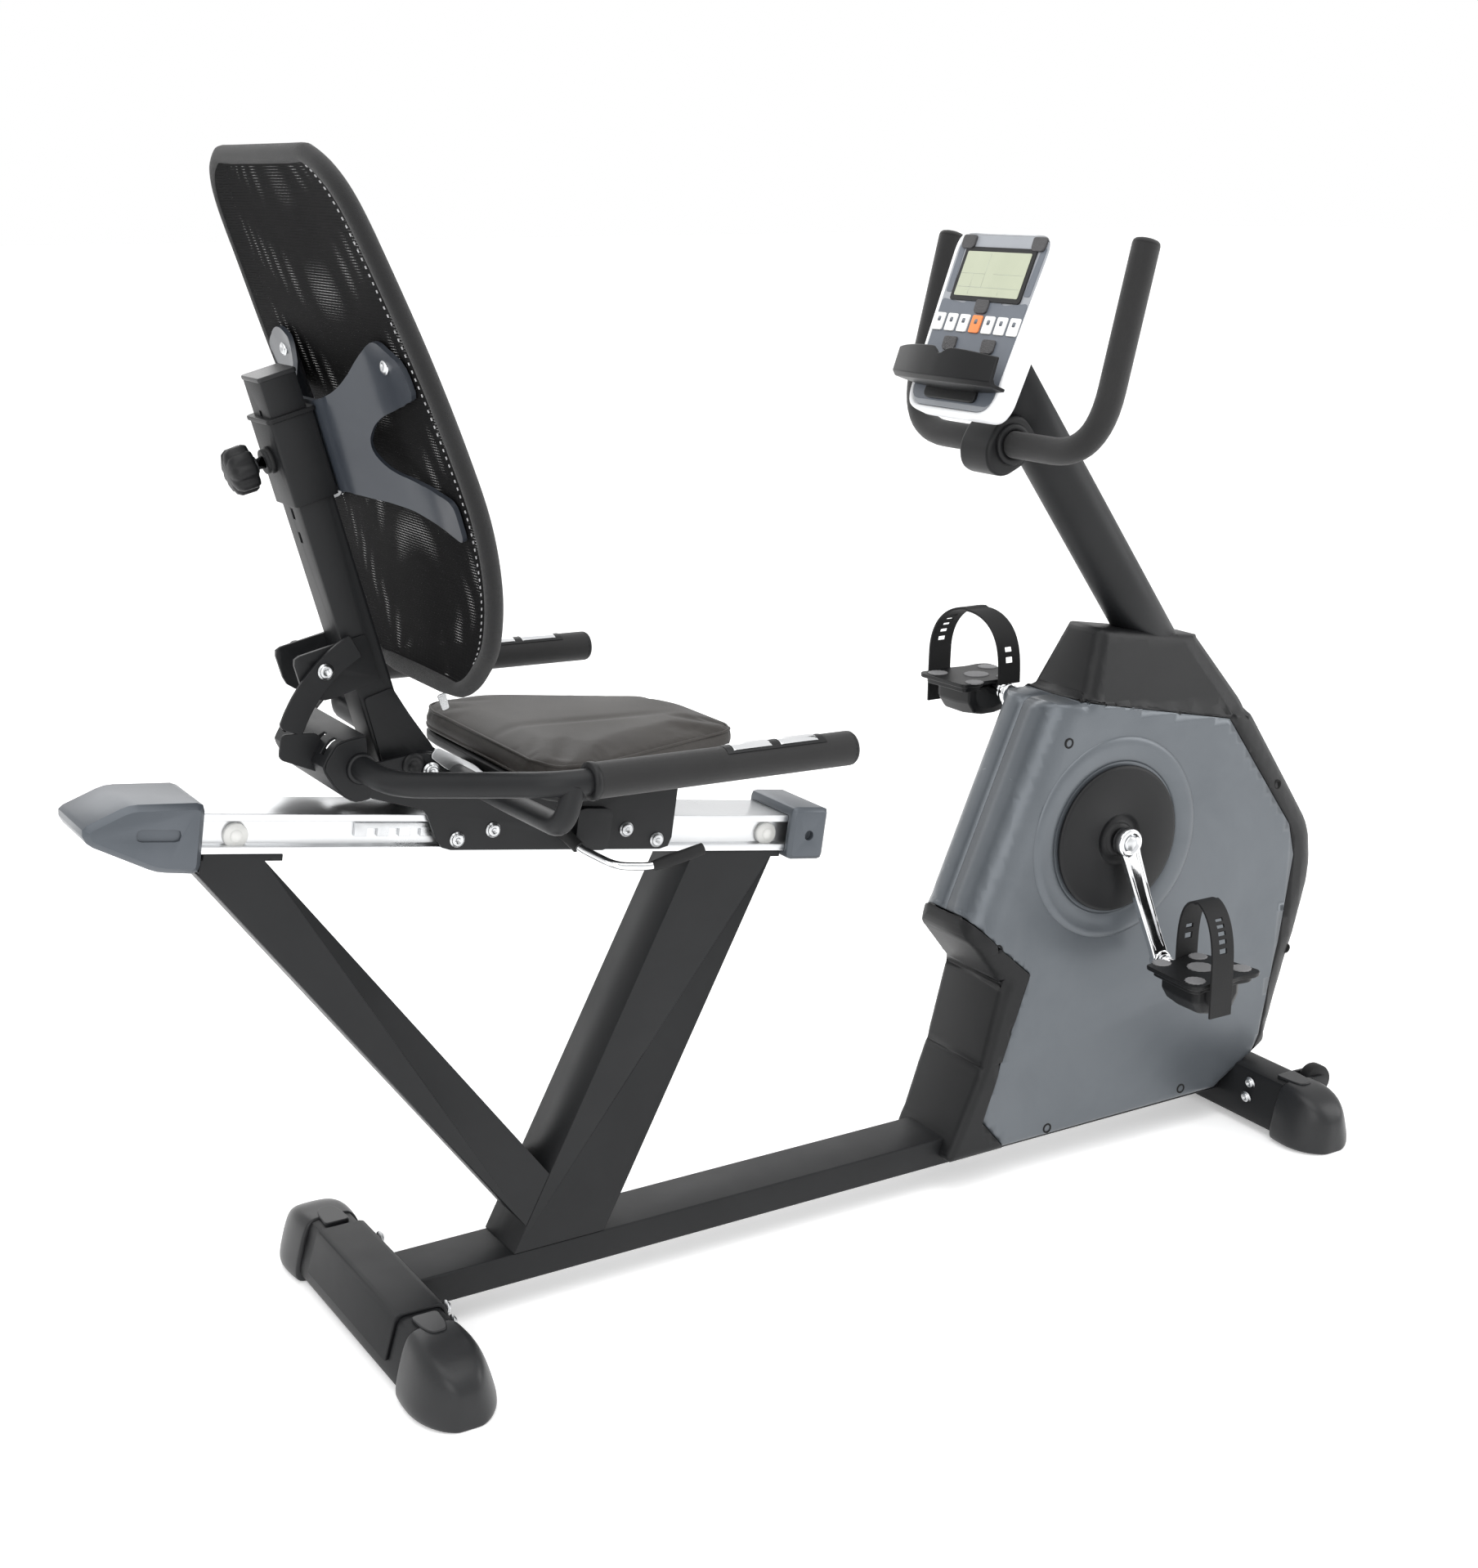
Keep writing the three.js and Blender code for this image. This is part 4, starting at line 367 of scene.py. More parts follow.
aluminium = drawn_aluminium()
foam = cells_finish("foam", (0.0085, 0.0083, 0.0086), (0.0130, 0.0128, 0.0132), (0.6, 0.75), 1500, 0.25)
vinyl = cells_finish("vinyl", (0.020, 0.0175, 0.0155), (0.029, 0.0255, 0.0225), (0.44, 0.58), 620, 0.22)
back_mesh = knitted_mesh("back_mesh", 0.11)
back_binding = cells_finish(
    "back_binding", (0.0050, 0.0050, 0.0055), (0.009, 0.009, 0.0095), (0.65, 0.8), 900, 0.5,
)
lcd = finish_of("lcd", (0.38, 0.41, 0.30), (0.43, 0.46, 0.34), (0.2, 0.3), 300, 0.01, coat=0.15)
for made in (foam, back_binding):
    shader_of(made).inputs["Sheen Weight"].default_value = 0.15
print(len(bpy.data.materials), "finishes")

# %% [markdown]
# Most pieces come from a few ways of making things: bending tube, cutting plate, turning on a lathe and
# blending sections.
# Each way is one function that takes millimetres and a set of axes, such as the tilted rail's or the
# reclined post's.

# %% Placing shapes and settling pieces
def axes_at(x, z, tilt):
    """A function that takes a point in axes tilted about Y and gives its place in metres."""
    turn = Matrix.Rotation(math.radians(tilt), 3, "Y")
    origin = Vector((x, 0, z))
    return lambda a, b, c: REAR_FOOT + (origin + turn @ Vector((a, b, c))) / 1000


floor = axes_at(0, 0, 0)
rail = axes_at(-176, 655, 8.8)
seat = axes_at(200, 646, 3.2)
back = axes_at(66.7, 668.2, -15)
console = axes_at(784, 1025, 22.4)


def settle(obj, body, look, stands_for=()):
    obj.data.materials.append(look)
    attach(obj, body)
    if stands_for:
        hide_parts(*stands_for)
    return obj


def mesh_object(name, points, faces):
    shape = bpy.data.meshes.new(f"{name}_shape")
    shape.from_pydata([tuple(p) for p in points], [], faces)
    work = bmesh.new()
    work.from_mesh(shape)
    bpy.data.meshes.remove(shape)
    bmesh.ops.recalc_face_normals(work, faces=work.faces)
    return object_from(work, name)


def thickened(obj, wall, offset=0):
    sheet = obj.modifiers.new("wall", "SOLIDIFY")
    sheet.thickness = wall / 1000
    sheet.offset = offset


def bevelled(obj, width, segments=3, angle=30):
    cut = obj.modifiers.new("bevel", "BEVEL")
    cut.width = width / 1000
    cut.segments = segments
    cut.limit_method = "ANGLE"
    cut.angle_limit = math.radians(angle)
    cut.harden_normals = True
    return obj


def subdivided(obj, levels=2):
    smooth = obj.modifiers.new("smooth", "SUBSURF")
    smooth.levels = levels
    smooth.render_levels = levels
    return obj

# %% [markdown]
# A moulded edge and a bent tube turn a corner in the same smooth curve, so both use one function.
# Plate is cut to an outline and given a thickness, and cast or moulded shapes are blended through sections.

# %% Corners, plates and blended forms
def round_corner(here, before, after, own, steps):
    """Points round one corner; before and after lead to its neighbours."""
    reach = min(own, before.length * 0.48, after.length * 0.48)
    if reach <= 0:
        return [here]
    start = here + before.normalized() * reach
    end = here + after.normalized() * reach
    shares = [k / steps for k in range(steps + 1)]
    return [start * (1 - t) ** 2 + here * 2 * t * (1 - t) + end * t * t for t in shares]


def rounded(corners, radius=0, steps=5):
    """An outline with its corners rounded; a corner is (a, b) or (a, b, own radius)."""
    points = []
    count = len(corners)
    for i, corner in enumerate(corners):
        own = corner[2] if len(corner) > 2 else radius
        here = Vector(corner[:2])
        before = Vector(corners[i - 1][:2]) - here
        after = Vector(corners[(i + 1) % count][:2]) - here
        points += round_corner(here, before, after, own, steps)
    return points


PLANES = {
    "XZ": lambda a, b, d: (a, d, b),
    "YZ": lambda a, b, d: (d, a, b),
    "XY": lambda a, b, d: (a, b, d),
}


def plate(name, where, outline, low, high, plane="XZ", bevel=1.0):
    """An outline in one plane, given a thickness across it."""
    put = PLANES[plane]
    count = len(outline)
    points = [where(*put(p[0], p[1], d)) for d in (low, high) for p in outline]
    faces = [tuple(range(count)), tuple(range(count, 2 * count))]
    faces += [(i, (i + 1) % count, count + (i + 1) % count, count + i) for i in range(count)]
    obj = mesh_object(name, points, faces)
    return bevelled(obj, bevel) if bevel else obj


def blended(name, rings):
    """A skin through rings of points, with its ends filled."""
    count = len(rings[0])
    points = [p for ring in rings for p in ring]
    last = (len(rings) - 1) * count
    faces = []
    for low in range(0, last, count):
        for i in range(count):
            j = (i + 1) % count
            faces.append((low + i, low + j, low + count + j, low + count + i))
    faces += [tuple(range(count)), tuple(range(last, last + count))]
    return mesh_object(name, points, faces)

# %% [markdown]
# Knobs, rings and bolts are turned on a lathe, and tube is bent along a path, as they are in a workshop.

# %% Turned and bent forms
def turned(name, where, centre, axis, profile, sides=48, flutes=0, depth=0.0, out=1):
    """A profile of (radius, distance along the axis) turned on a lathe, with flutes milled along it.

    out is -1 where the profile runs the other way along the axis.
    """
    rings = []
    for radius, along in profile:
        ring = []
        for i in range(sides):
            angle = 2 * math.pi * i / sides
            fluted = flutes and radius > depth * 3
            r = radius - (depth * (0.5 + 0.5 * math.cos(flutes * angle)) ** 2 if fluted else 0)
            u, v = r * math.cos(angle), r * math.sin(angle)
            run = out * along
            offset = {"X": (run, u, v), "Y": (u, run, v), "Z": (u, v, run)}[axis]
            ring.append(where(*(c + o for c, o in zip(centre, offset))))
        rings.append(ring)
    return blended(name, rings)


def bent(points, reach, steps=8):
    """A path of points with each inner corner bent over a distance."""
    corners = [Vector(p[:3]) for p in points]
    path = [corners[0]]
    for i in range(1, len(corners) - 1):
        here = corners[i]
        own = points[i][3] if len(points[i]) > 3 else reach
        path += round_corner(here, corners[i - 1] - here, corners[i + 1] - here, own, steps)
    return path + [corners[-1]]


def tube(name, where, path, radius, shares=None):
    """A round tube along a path, as a curve with filled ends; shares thins it along the way."""
    data = bpy.data.curves.new(name, "CURVE")
    data.dimensions = "3D"
    data.bevel_depth = radius / 1000
    data.bevel_resolution = 8
    data.use_fill_caps = True
    spline = data.splines.new("POLY")
    spline.points.add(len(path) - 1)
    for i, p in enumerate(path):
        spline.points[i].co = (*where(*p), 1)
        spline.points[i].radius = shares[i] if shares else 1
    spline.use_smooth = True
    return placed(name, data)


def joined(name, parts):
    """Several pieces made into one, with their modifiers applied."""
    view = bpy.context.evaluated_depsgraph_get()
    view.update()
    work = bmesh.new()
    for part in parts:
        mesh = bpy.data.meshes.new_from_object(part.evaluated_get(view))
        mesh.transform(part.matrix_world)
        work.from_mesh(mesh)
    for part in parts:
        bpy.data.objects.remove(part)
    obj = object_from(work, name)
    obj.data.materials.clear()
    return obj


def bolt(name, where, centre, axis, radius=7, high=4, outward=1):
    """A round-headed bolt on a washer, with a socket in its head."""
    profile = [(0.01, 0), (radius * 1.25, 0), (radius * 1.25, 1.2), (radius, 1.3), (radius, high * 0.7)]
    profile += [
        (radius * 0.85, high), (radius * 0.45, high), (radius * 0.42, high * 0.45), (0.01, high * 0.45),
    ]
    return turned(name, where, centre, axis, profile, 20, out=outward)


def bolts(name, body, spots):
    """A set of bolts on one body: each is (axes, centre, axis, radius, height, outward)."""
    heads = [bolt(f"{name}_{i}", *spot) for i, spot in enumerate(spots)]
    return settle(joined(name, heads), body, steel)


SIDES = (("right", -1), ("left", 1))

# %% [markdown]
# The welded steel pieces and the aluminium rail keep their CAD shape, since flat steel and extrusions are
# just that.
# Their sharp edges get the small radius that folding and drawing leave, and a finish in place of a plain
# colour.

# %% Steelwork and rail from the CAD
def keep(names, look, width=1.5):
    for name in names:
        obj = nodes[name]
        obj.data.materials.clear()
        obj.data.materials.append(look)
        weld = obj.modifiers.new("weld", "WELD")
        weld.merge_threshold = 0.00002
        smoothed(obj.data)
        bevelled(obj, width, 3, 28)


keep(["base_tube", "front_strut", "rear_strut"], frame_black, 3)
keep(["rear_foot", "front_foot", "rear_saddle"], frame_black, 2)
keep(["seat_rail"], aluminium, 1)
keep(["rail_rear_cap", "rail_front_cap"], blue_plastic, 3)
keep(["latch_rack"], steel, 0.5)
keep(["carriage"], frame_black, 1)
keep(["seat_pan"], plastic_black, 2)
keep(["back_post"], frame_black, 2)
keep(["back_sleeve"], frame_black, 1.5)
keep(["inner_frame", "drive_belt"], frame_black, 0.5)
keep(["flywheel", "crank_spindle", "brake_magnet"], steel, 0.5)

# %% [markdown]
# The drive housing is four thin plastic mouldings round the wheels: two grey sides, a black front with a
# neck, and a black lower rear.
# They share one body shape: a flat side whose edges roll over to a rounded rim, so the whole side is made
# once and then parted along its seams.

# %% Outline of the drive housing
HOUSING_HALF = 64
CRANK_X, CRANK_Z = 1016, 448
HOUSING = [
    (910, 636), (795, 378), (788, 348), (842, 278), (812, 168), (774, 76), (760, 46), (1232, 46),
    (1336, 105), (1398, 340), (1390, 408), (1262, 590), (1186, 692), (1000, 722), (962, 635),
]
ROLL = [42, 34, 16, 10, 10, 8, 6, 12, 40, 40, 40, 38, 9, 16, 12]
FRONT_SEAM = [(880, 650), (965, 634), (1206, 584), (1330, 418), (1342, 372), (1304, 112), (1262, 30)]
REAR_SEAM = [(760, 403), (832, 328), (882, 284), (840, 171), (814, 91), (866, 30)]
CREASE = ((868, 150), (1394, 262))
NECK_LOW, NECK_HIGH, NECK_IN = 628, 722, 24


def line_distance(p, a, b):
    run = b - a
    t = max(0, min(1, (p - a).dot(run) / run.length_squared))
    return (p - a - run * t).length


def housing_edge(i):
    """The two ends of one straight edge of the housing's outline."""
    return Vector(HOUSING[i]), Vector(HOUSING[(i + 1) % len(HOUSING)])


def side_of(p, a, b):
    return (b[0] - a[0]) * (p[1] - a[1]) - (b[1] - a[1]) * (p[0] - a[0])

# %% [markdown]
# The depth of the housing's side is worked out from its outline.
# Each edge rolls over with its own radius, the neck leans in, and the side steps in a little under the
# crease.

# %% Depth of the housing's side
def housing_depth(p):
    """How far out from the middle the housing's side stands at a point."""
    total = 0.0
    for i, roll in enumerate(ROLL):
        d = line_distance(p, *housing_edge(i))
        if d < roll:
            drop = roll - math.sqrt(max(0, roll * roll - (roll - d) ** 2))
            total += drop ** 3
    out = HOUSING_HALF - total ** (1 / 3)
    above = p.y - (NECK_LOW + 0.187 * (965 - p.x))
    past_seam = side_of(p, *FRONT_SEAM[:2]) > 0 and side_of(p, *FRONT_SEAM[1:3]) > 0
    if past_seam and above > 0:
        out -= min(4, above) + NECK_IN * max(0, above - 4) / (NECK_HIGH - NECK_LOW)
    below = -side_of(p, *CREASE) / 538
    if below > 0:
        out -= 5.5 * (1 - math.exp(-below / 60))
    return out


def ahead_of_seam(p, seam, sign):
    """Whether a point is on the outer side of a seam, by casting across the closed region beyond it."""
    region = list(seam) + ([(1900, 30), (1900, 900), (880, 900)] if sign > 0 else [(500, 30), (500, 403)])
    inside = False
    for i in range(len(region)):
        (x0, z0), (x1, z1) = region[i - 1], region[i]
        if (z0 > p.y) != (z1 > p.y) and p.x < x0 + (p.y - z0) * (x1 - x0) / (z1 - z0):
            inside = not inside
    return inside

# %% [markdown]
# The side starts as one flat sheet, cut up along straight lines so that it can bend where the moulding bends.

# %% The housing's flat side sheet
def slice_at(work, point, normal, merge):
    """Cuts the flat faces of a bmesh along a line, given by a point and the direction across it."""
    everything = work.verts[:] + work.edges[:] + work.faces[:]
    bmesh.ops.bisect_plane(work, geom=everything, dist=merge, plane_co=(*point, 0), plane_no=(*normal, 0))


def housing_side():
    """The flat side, cut up finely along straight lines, and along the seams and the rolled edges."""
    work = bmesh.new()
    outline = rounded(HOUSING, 12, 5)
    work.faces.new([work.verts.new((p.x, p.y, 0)) for p in outline])

    def slice_line(point, normal):
        slice_at(work, point, normal, 0.02)

    for x in range(770, 1400, 14):
        slice_line((x, 0), (1, 0))
    for z in range(56, 722, 14):
        slice_line((0, z), (0, 1))
    for seam in (FRONT_SEAM, REAR_SEAM):
        for a, b in zip(seam, seam[1:]):
            slice_line(a, (b[1] - a[1], a[0] - b[0]))
    slice_line(CREASE[0], (CREASE[1][1] - CREASE[0][1], CREASE[0][0] - CREASE[1][0]))
    for i, roll in enumerate(ROLL):
        a, b = housing_edge(i)
        inward = Vector((a.y - b.y, b.x - a.x)).normalized()
        for turn in ((12, 26, 42, 60, 90) if roll > 20 else (30, 60, 90)):
            reach = roll * (1 - math.cos(math.radians(turn)))
            slice_line(a + inward * reach, inward)
    bmesh.ops.triangulate(work, faces=[f for f in work.faces if len(f.verts) > 4])
    return work

# %% [markdown]
# Each moulding takes its own faces of the side, stands back a little from the seam, and gets a rim and a
# wall.

# %% The housing's mouldings
def moulding(name, region, halves, look, stands_for):
    """One moulding: the faces of the side in its region, given their depth and a rim to the middle."""
    source = housing_side()
    doomed = []
    for face in source.faces:
        centre = face.calc_center_median()
        spot = Vector((centre.x, centre.y))
        front = ahead_of_seam(spot, FRONT_SEAM, 1)
        rear = ahead_of_seam(spot, REAR_SEAM, -1)
        here = "front" if front else "rear" if rear else "panel"
        over_spindle = (spot - Vector((CRANK_X, CRANK_Z))).length < 30
        if here != region or over_spindle:
            doomed.append(face)
    bmesh.ops.delete(source, geom=doomed, context="FACES")
    rim = rounded(HOUSING, 12, 5)
    edge_of = {}
    for edge in source.edges:
        if len(edge.link_faces) != 1:
            continue
        middle = Vector(((edge.verts[0].co + edge.verts[1].co) / 2)[:2])
        near = min(line_distance(middle, rim[i - 1], rim[i]) for i in range(len(rim)))
        edge_of[edge] = near < 0.3
    seam_verts = {}
    for edge, on_rim in edge_of.items():
        if on_rim:
            continue
        inner = edge.link_faces[0].calc_center_median()
        for vert in edge.verts:
            pull = inner - (edge.verts[0].co + edge.verts[1].co) / 2
            seam_verts[vert] = seam_verts.get(vert, Vector()) + pull
    for vert, pull in seam_verts.items():
        if pull.length > 1e-6:
            vert.co += pull.normalized() * 0.7
    rim_edges = [edge for edge, on_rim in edge_of.items() if on_rim]
    for vert in source.verts:
        vert.co.z = housing_depth(Vector((vert.co.x, vert.co.y)))
    grown = bmesh.ops.extrude_edge_only(source, edges=rim_edges)
    for item in grown["geom"]:
        if isinstance(item, bmesh.types.BMVert):
            item.co.z = 0.5 if len(halves) == 1 else 0.0
    made = []
    for sign in halves:
        work = source.copy()
        for vert in work.verts:
            x, z, y = vert.co
            vert.co = floor(x, sign * y, z)
        mesh = bpy.data.meshes.new(name)
        work.to_mesh(mesh)
        work.free()
        made.append(mesh)
    source.free()
    whole = bmesh.new()
    for mesh in made:
        whole.from_mesh(mesh)
    bmesh.ops.remove_doubles(whole, verts=whole.verts, dist=0.00005)
    bmesh.ops.recalc_face_normals(whole, faces=whole.faces)
    obj = object_from(whole, name)
    thickened(obj, 2.4, -1)
    return settle(obj, "frame", look, stands_for)


shell_right = moulding("shell_right", "panel", (-1,), housing_grey, ["shroud_right"])
moulding("shell_left", "panel", (1,), housing_grey, ["shroud_left"])
moulding("shell_front", "front", (-1, 1), plastic_black, ["shroud_front"])
moulding("shell_rear", "rear", (-1, 1), plastic_black, ["shroud_rear"])
print("housing side:", len(shell_right.data.polygons), "faces")

# %% [markdown]
# Round each crank bearing the side swells into a low dished ring, and the dark disc that turns with the
# crank fills it.
# Both are turned shapes, so their circles stay true in the light.

# %% Crank bearing rings
RING = [
    (137, 60.5), (136, 63.6), (134, 66), (130, 67.6), (124, 68), (112, 67), (105, 65.5), (102, 64.2),
    (100, 61),
]
DISC = [
    (97.5, 66.6), (98, 68.5), (97, 70.6), (93, 71.8), (70, 72.4), (36, 72.6), (33, 71.8), (31, 69.6),
    (24, 69.2), (22, 71.5), (20, 75), (12, 75.4), (9, 74),
]
for name, y in SIDES:
    ring = turned(f"shell_ring_{name}", floor, (CRANK_X, 0, CRANK_Z), "Y", RING, 96, out=y)
    settle(ring, "frame", housing_grey)
    disc = turned(f"pulley_disc_{name}", floor, (CRANK_X, 0, CRANK_Z), "Y", DISC, 96, out=y)
    settle(disc, "crank", plastic_black, [f"crank_disc_{name}"])

# The screw wells are shallow turned cups, coloured near-black as painted shade for the depth of a real screw
# hole.
SHELL_SCREWS = [(932, 586), (1303, 478), (1347, 231), (925, 56), (829, 327), (1161, 60)]
for name, y in SIDES:
    holes = []
    for i, (x, z) in enumerate(SHELL_SCREWS):
        out = housing_depth(Vector((x, z)))
        profile = [(7, -1.5), (7, 0.4), (6, 0.9), (4.8, 0.9), (4.4, -1), (0.01, -1)]
        holes.append(turned(f"well_{name}_{i}", floor, (x, y * out, z), "Y", profile, 20, out=y))
    settle(joined(f"shell_screw_wells_{name}", holes), "frame", painted_well_shade)
print(len(SHELL_SCREWS), "screw wells on each side")

# %% [markdown]
# The cranks are forged arms, polished and chromed, each with a long channel on its outer face.
# They flare outwards to clear the housing, and a broad boss holds them on the spindle.

# %% Cranks
# Along the arm: distance from the spindle, half width, distance out from the middle, half thickness,
# channel depth.
CRANK_STATIONS = [
    (-4, 15.5, 87, 6.5, 0), (14, 14.5, 88, 6.5, 0), (22, 13.5, 89, 6.5, 2.4), (80, 12, 96, 6.2, 2.8),
    (142, 11, 106, 6, 2.4), (152, 11.5, 108, 6, 0), (172, 11.5, 110, 6, 0),
]
CRANK_BOSS = [(12, 79.5), (18, 80), (19, 82), (19, 94), (17.5, 96), (13, 96.5), (12, 94.5), (0.01, 94.5)]
CRANK_EYE = [(9, 103.5), (13, 104), (14, 106), (14, 115), (12.5, 117), (7, 117)]
PEDAL_AXLE = [(6.5, 110), (6.5, 118), (9, 118.5), (9, 128), (7, 129), (7, 232)]
CRANK_NUT = [(11, 93.5), (11, 95.4), (8, 97), (0.01, 97.2)]


def crank_arm(name, y):
    arm = axes_at(CRANK_X, CRANK_Z, 74 if y < 0 else 254)
    rings = []
    for x, wide, out, thick, deep in CRANK_STATIONS:
        section = [
            (wide, thick - 2), (wide - 1.5, thick), (wide * 0.62, thick), (wide * 0.5, thick - deep),
            (-wide * 0.5, thick - deep), (-wide * 0.62, thick), (-wide + 1.5, thick), (-wide, thick - 2),
        ]
        section += [(-wide, -thick + 2), (-wide + 2, -thick), (wide - 2, -thick), (wide, -thick + 2)]
        rings.append([arm(x, y * (out + d), w) for w, d in section])
    body = bevelled(blended(f"{name}_body", rings), 1.2, 3, 25)
    boss = turned(f"{name}_boss", arm, (0, 0, 0), "Y", CRANK_BOSS, 40, out=y)
    eye = turned(f"{name}_eye", arm, (170, 0, 0), "Y", CRANK_EYE, 32, out=y)
    axle = turned(f"{name}_axle", arm, (170, 0, 0), "Y", PEDAL_AXLE, 24, out=y)
    whole = joined(f"crank_{name}", [body, boss, eye, axle])
    settle(whole, "crank", chrome, [f"crank_arm_{name}"])
    nut = turned(f"crank_nut_{name}", arm, (0, 0, 0), "Y", CRANK_NUT, 6, out=y)
    settle(nut, "crank", steel)


for name, y in SIDES:
    crank_arm(name, y)

# %% [markdown]
# The pedals are wide plates with round grip pads, kept level by a weight that hangs below the axle.
# A perforated strap arches over each plate, slanting forwards over the toes.

# %% Pedals and straps
PEDAL_AT = {"right": (1062.9, 284.6), "left": (969.1, 611.4)}
PADS = [(-30, 146, 11), (27, 152, 11), (-38, 218, 12), (44, 214, 12), (2, 184, 16)]


def pedal(name, y):
    where = axes_at(*PEDAL_AT[name], 0)
    body = f"pedal_{name}"
    outline = [
        (-53, 139, 9), (-20, 139, 4), (-17, 144, 3), (8, 144, 3), (11, 139, 4), (38, 139, 9),
        (50, 170, 14), (62, 232, 10), (48, 240, 8), (22, 236, 6), (-6, 240, 4), (-30, 236, 6),
        (-50, 240, 8), (-58, 230, 10), (-55, 180, 12),
    ]
    top = plate(f"{body}_top", where, [(p.x, y * p.y) for p in rounded(outline, 4, 4)], 6.5, 12, "XY", 1.4)
    under = plate(
        f"{body}_under", where,
        [(p.x * 0.88, y * (190 + (p.y - 190) * 0.86)) for p in rounded(outline, 4, 3)], -1, 7, "XY", 1.5,
    )
    rings = []
    for out, wide, low in [
        (148, 26, -26), (152, 34, -36), (176, 37, -39), (214, 37, -39), (222, 34, -36), (226, 27, -28),
    ]:
        rings.append([
            where(x, y * out, z)
            for x, z in [
                (-wide, 4), (-wide, low * 0.5), (-wide * 0.72, low * 0.92), (-wide * 0.3, low),
                (wide * 0.3, low), (wide * 0.72, low * 0.92), (wide, low * 0.5), (wide, 4),
            ]
        ])
    weight = bevelled(blended(f"{body}_weight", rings), 2.5, 3, 20)
    settle(
        joined(f"{body}_platform", [top, under, weight]), body, plastic_black,
        [f"pedal_{name}"],
    )
    pads = []
    for i, (x, out, radius) in enumerate(PADS):
        profile = [
            (radius + 2, 11.4), (radius + 1.6, 13), (radius, 13.4), (radius * 0.75, 12.8),
            (radius * 0.5, 13.4), (radius * 0.2, 13), (0.01, 13),
        ]
        pads.append(turned(f"{body}_pad_{i}", where, (x, y * out, 0), "Z", profile, 28, 14, 1.2))
    settle(joined(f"{body}_pads", pads), body, pad_grey)


def strap(name, y):
    where = axes_at(*PEDAL_AT[name], 0)
    rows, columns = 44, [-18, -16.5, -6, 6, 16.5, 18]
    points, faces = [], []
    for r in range(rows + 1):
        t = r / rows
        angle = math.pi * t
        across = 190 - 53.5 * math.cos(angle)
        high = 8 + 96 * math.sin(angle) ** 0.62 if 0 < t < 1 else 8
        if t < 0.5:
            high -= 2
        else:
            high -= 40 * max(0, (t - 0.93) / 0.07)
        lean = 0.36 * (190 - across)
        for x in columns:
            points.append(where(2 + x + lean, y * across, high))
    holes = {2, 4, 31, 33, 35, 37, 39}
    wide = len(columns)
    for r in range(rows):
        for c in range(wide - 1):
            if c == 2 and r in holes:
                continue
            a = r * wide + c
            faces.append((a, a + 1, a + 1 + wide, a + wide))
    band = mesh_object(f"strap_{name}", points, faces)
    thickened(band, 3.2)
    bevelled(band, 0.5, 2)
    settle(band, f"pedal_{name}", rubber_black, [f"pedal_strap_{name}"])


pad_grey = finish_of("pad_grey", (0.16, 0.16, 0.165), (0.22, 0.22, 0.225), (0.6, 0.8), 800, 0.3)
for name, y in SIDES:
    pedal(name, y)
    strap(name, y)
    print("pedal", name, "at", PEDAL_AT[name])

# %% [markdown]
# The mast is one straight steel tube, cut at the top to the slope of the console.
# The bar is a bent tube under a foam sleeve, and a two-part cover hides the bracket that clamps it to the
# mast.

# %% Mast
MAST_LOW = Vector((1178.7, 0, 600))
MAST_RUN = Vector((-math.sin(math.radians(35.7)), 0, math.cos(math.radians(35.7))))
MAST_OUT = Vector((-MAST_RUN.z, 0, MAST_RUN.x))
console_turn = Matrix.Rotation(math.radians(22.4), 3, "Y")
console_away = console_turn @ Vector((1, 0, 0))


MAST_RADIUS = 35


def mast_ring(run, slant=False):
    """A ring round the mast, square to it or slanted to lie against the console's back."""
    ring = []
    for i in range(64):
        angle = 2 * math.pi * i / 64
        p = MAST_LOW + MAST_RUN * run + MAST_OUT * MAST_RADIUS * math.cos(angle)
        p.y += MAST_RADIUS * math.sin(angle)
        if slant:
            level = Vector((784, 0, 1025)) + console_away * 29
            p += MAST_RUN * ((level - p).dot(console_away) / MAST_RUN.dot(console_away))
        ring.append(floor(*p))
    return ring


mast = blended("mast_tube", [mast_ring(0), mast_ring(200), mast_ring(420), mast_ring(0, True)])
print("mast", 2 * MAST_RADIUS, "mm across")
settle(mast, "frame", frame_black, ["mast"])

BAR_PATH = bent([(912.6, -186, 1205), (852, -186, 965), (852, 186, 965), (912.6, 186, 1205)], 80, 12)
bar = tube("bar_foam", floor, BAR_PATH, 16.5)
settle(bar, "frame", foam, ["handlebar"])
tips = []
for y in (-1, 1):
    tip = axes_at(912.6, 1205, 14.2)
    tips.append(turned(
        f"bar_tip_{y + 1}", tip, (0, y * 186, 0), "Z",
        [(16.4, -1), (15.6, 2.6), (13, 5), (8, 6.3), (0.01, 6.7)], 32,
    ))
settle(joined("bar_tips", tips), "frame", foam)

CLAMP = [
    (893, 976, 8), (868, 1002, 14), (833, 995, 18), (813, 962, 20), (818, 934, 14), (842, 924, 12),
    (876, 940, 12),
]
cover = plate("clamp_body", floor, rounded(CLAMP, 12, 5), -30, 30, "XZ", 6)
lips = []
for y in (-1, 1):
    profile = [(17.4, 22), (24, 24), (25.5, 28), (25.5, 33), (24, 35), (19, 35.4), (17.2, 33)]
    lips.append(turned(f"clamp_lip_{y + 1}", floor, (852, 0, 965), "Y", profile, 40, out=y))
settle(joined("clamp_cover", [cover] + lips), "frame", plastic_black, ["handlebar_clamp"])

# %% [markdown]
# The console is a white moulded tub with a silver faceplate set into its rim.
# Its display sits behind a dark window frame, with five dark textured buttons and a strip of seven small
# keys below it.
# A curved black shelf holds a phone against its lower half.

# %% Console tub and faceplate
def console_outline(grow=0.0, low=-25, top=208):
    corners = [
        (-88 - grow, low - grow, 26), (-97 - grow, top + grow, 26), (97 + grow, top + grow, 26),
        (88 + grow, low - grow, 26),
    ]
    return rounded(corners, 24, 8)


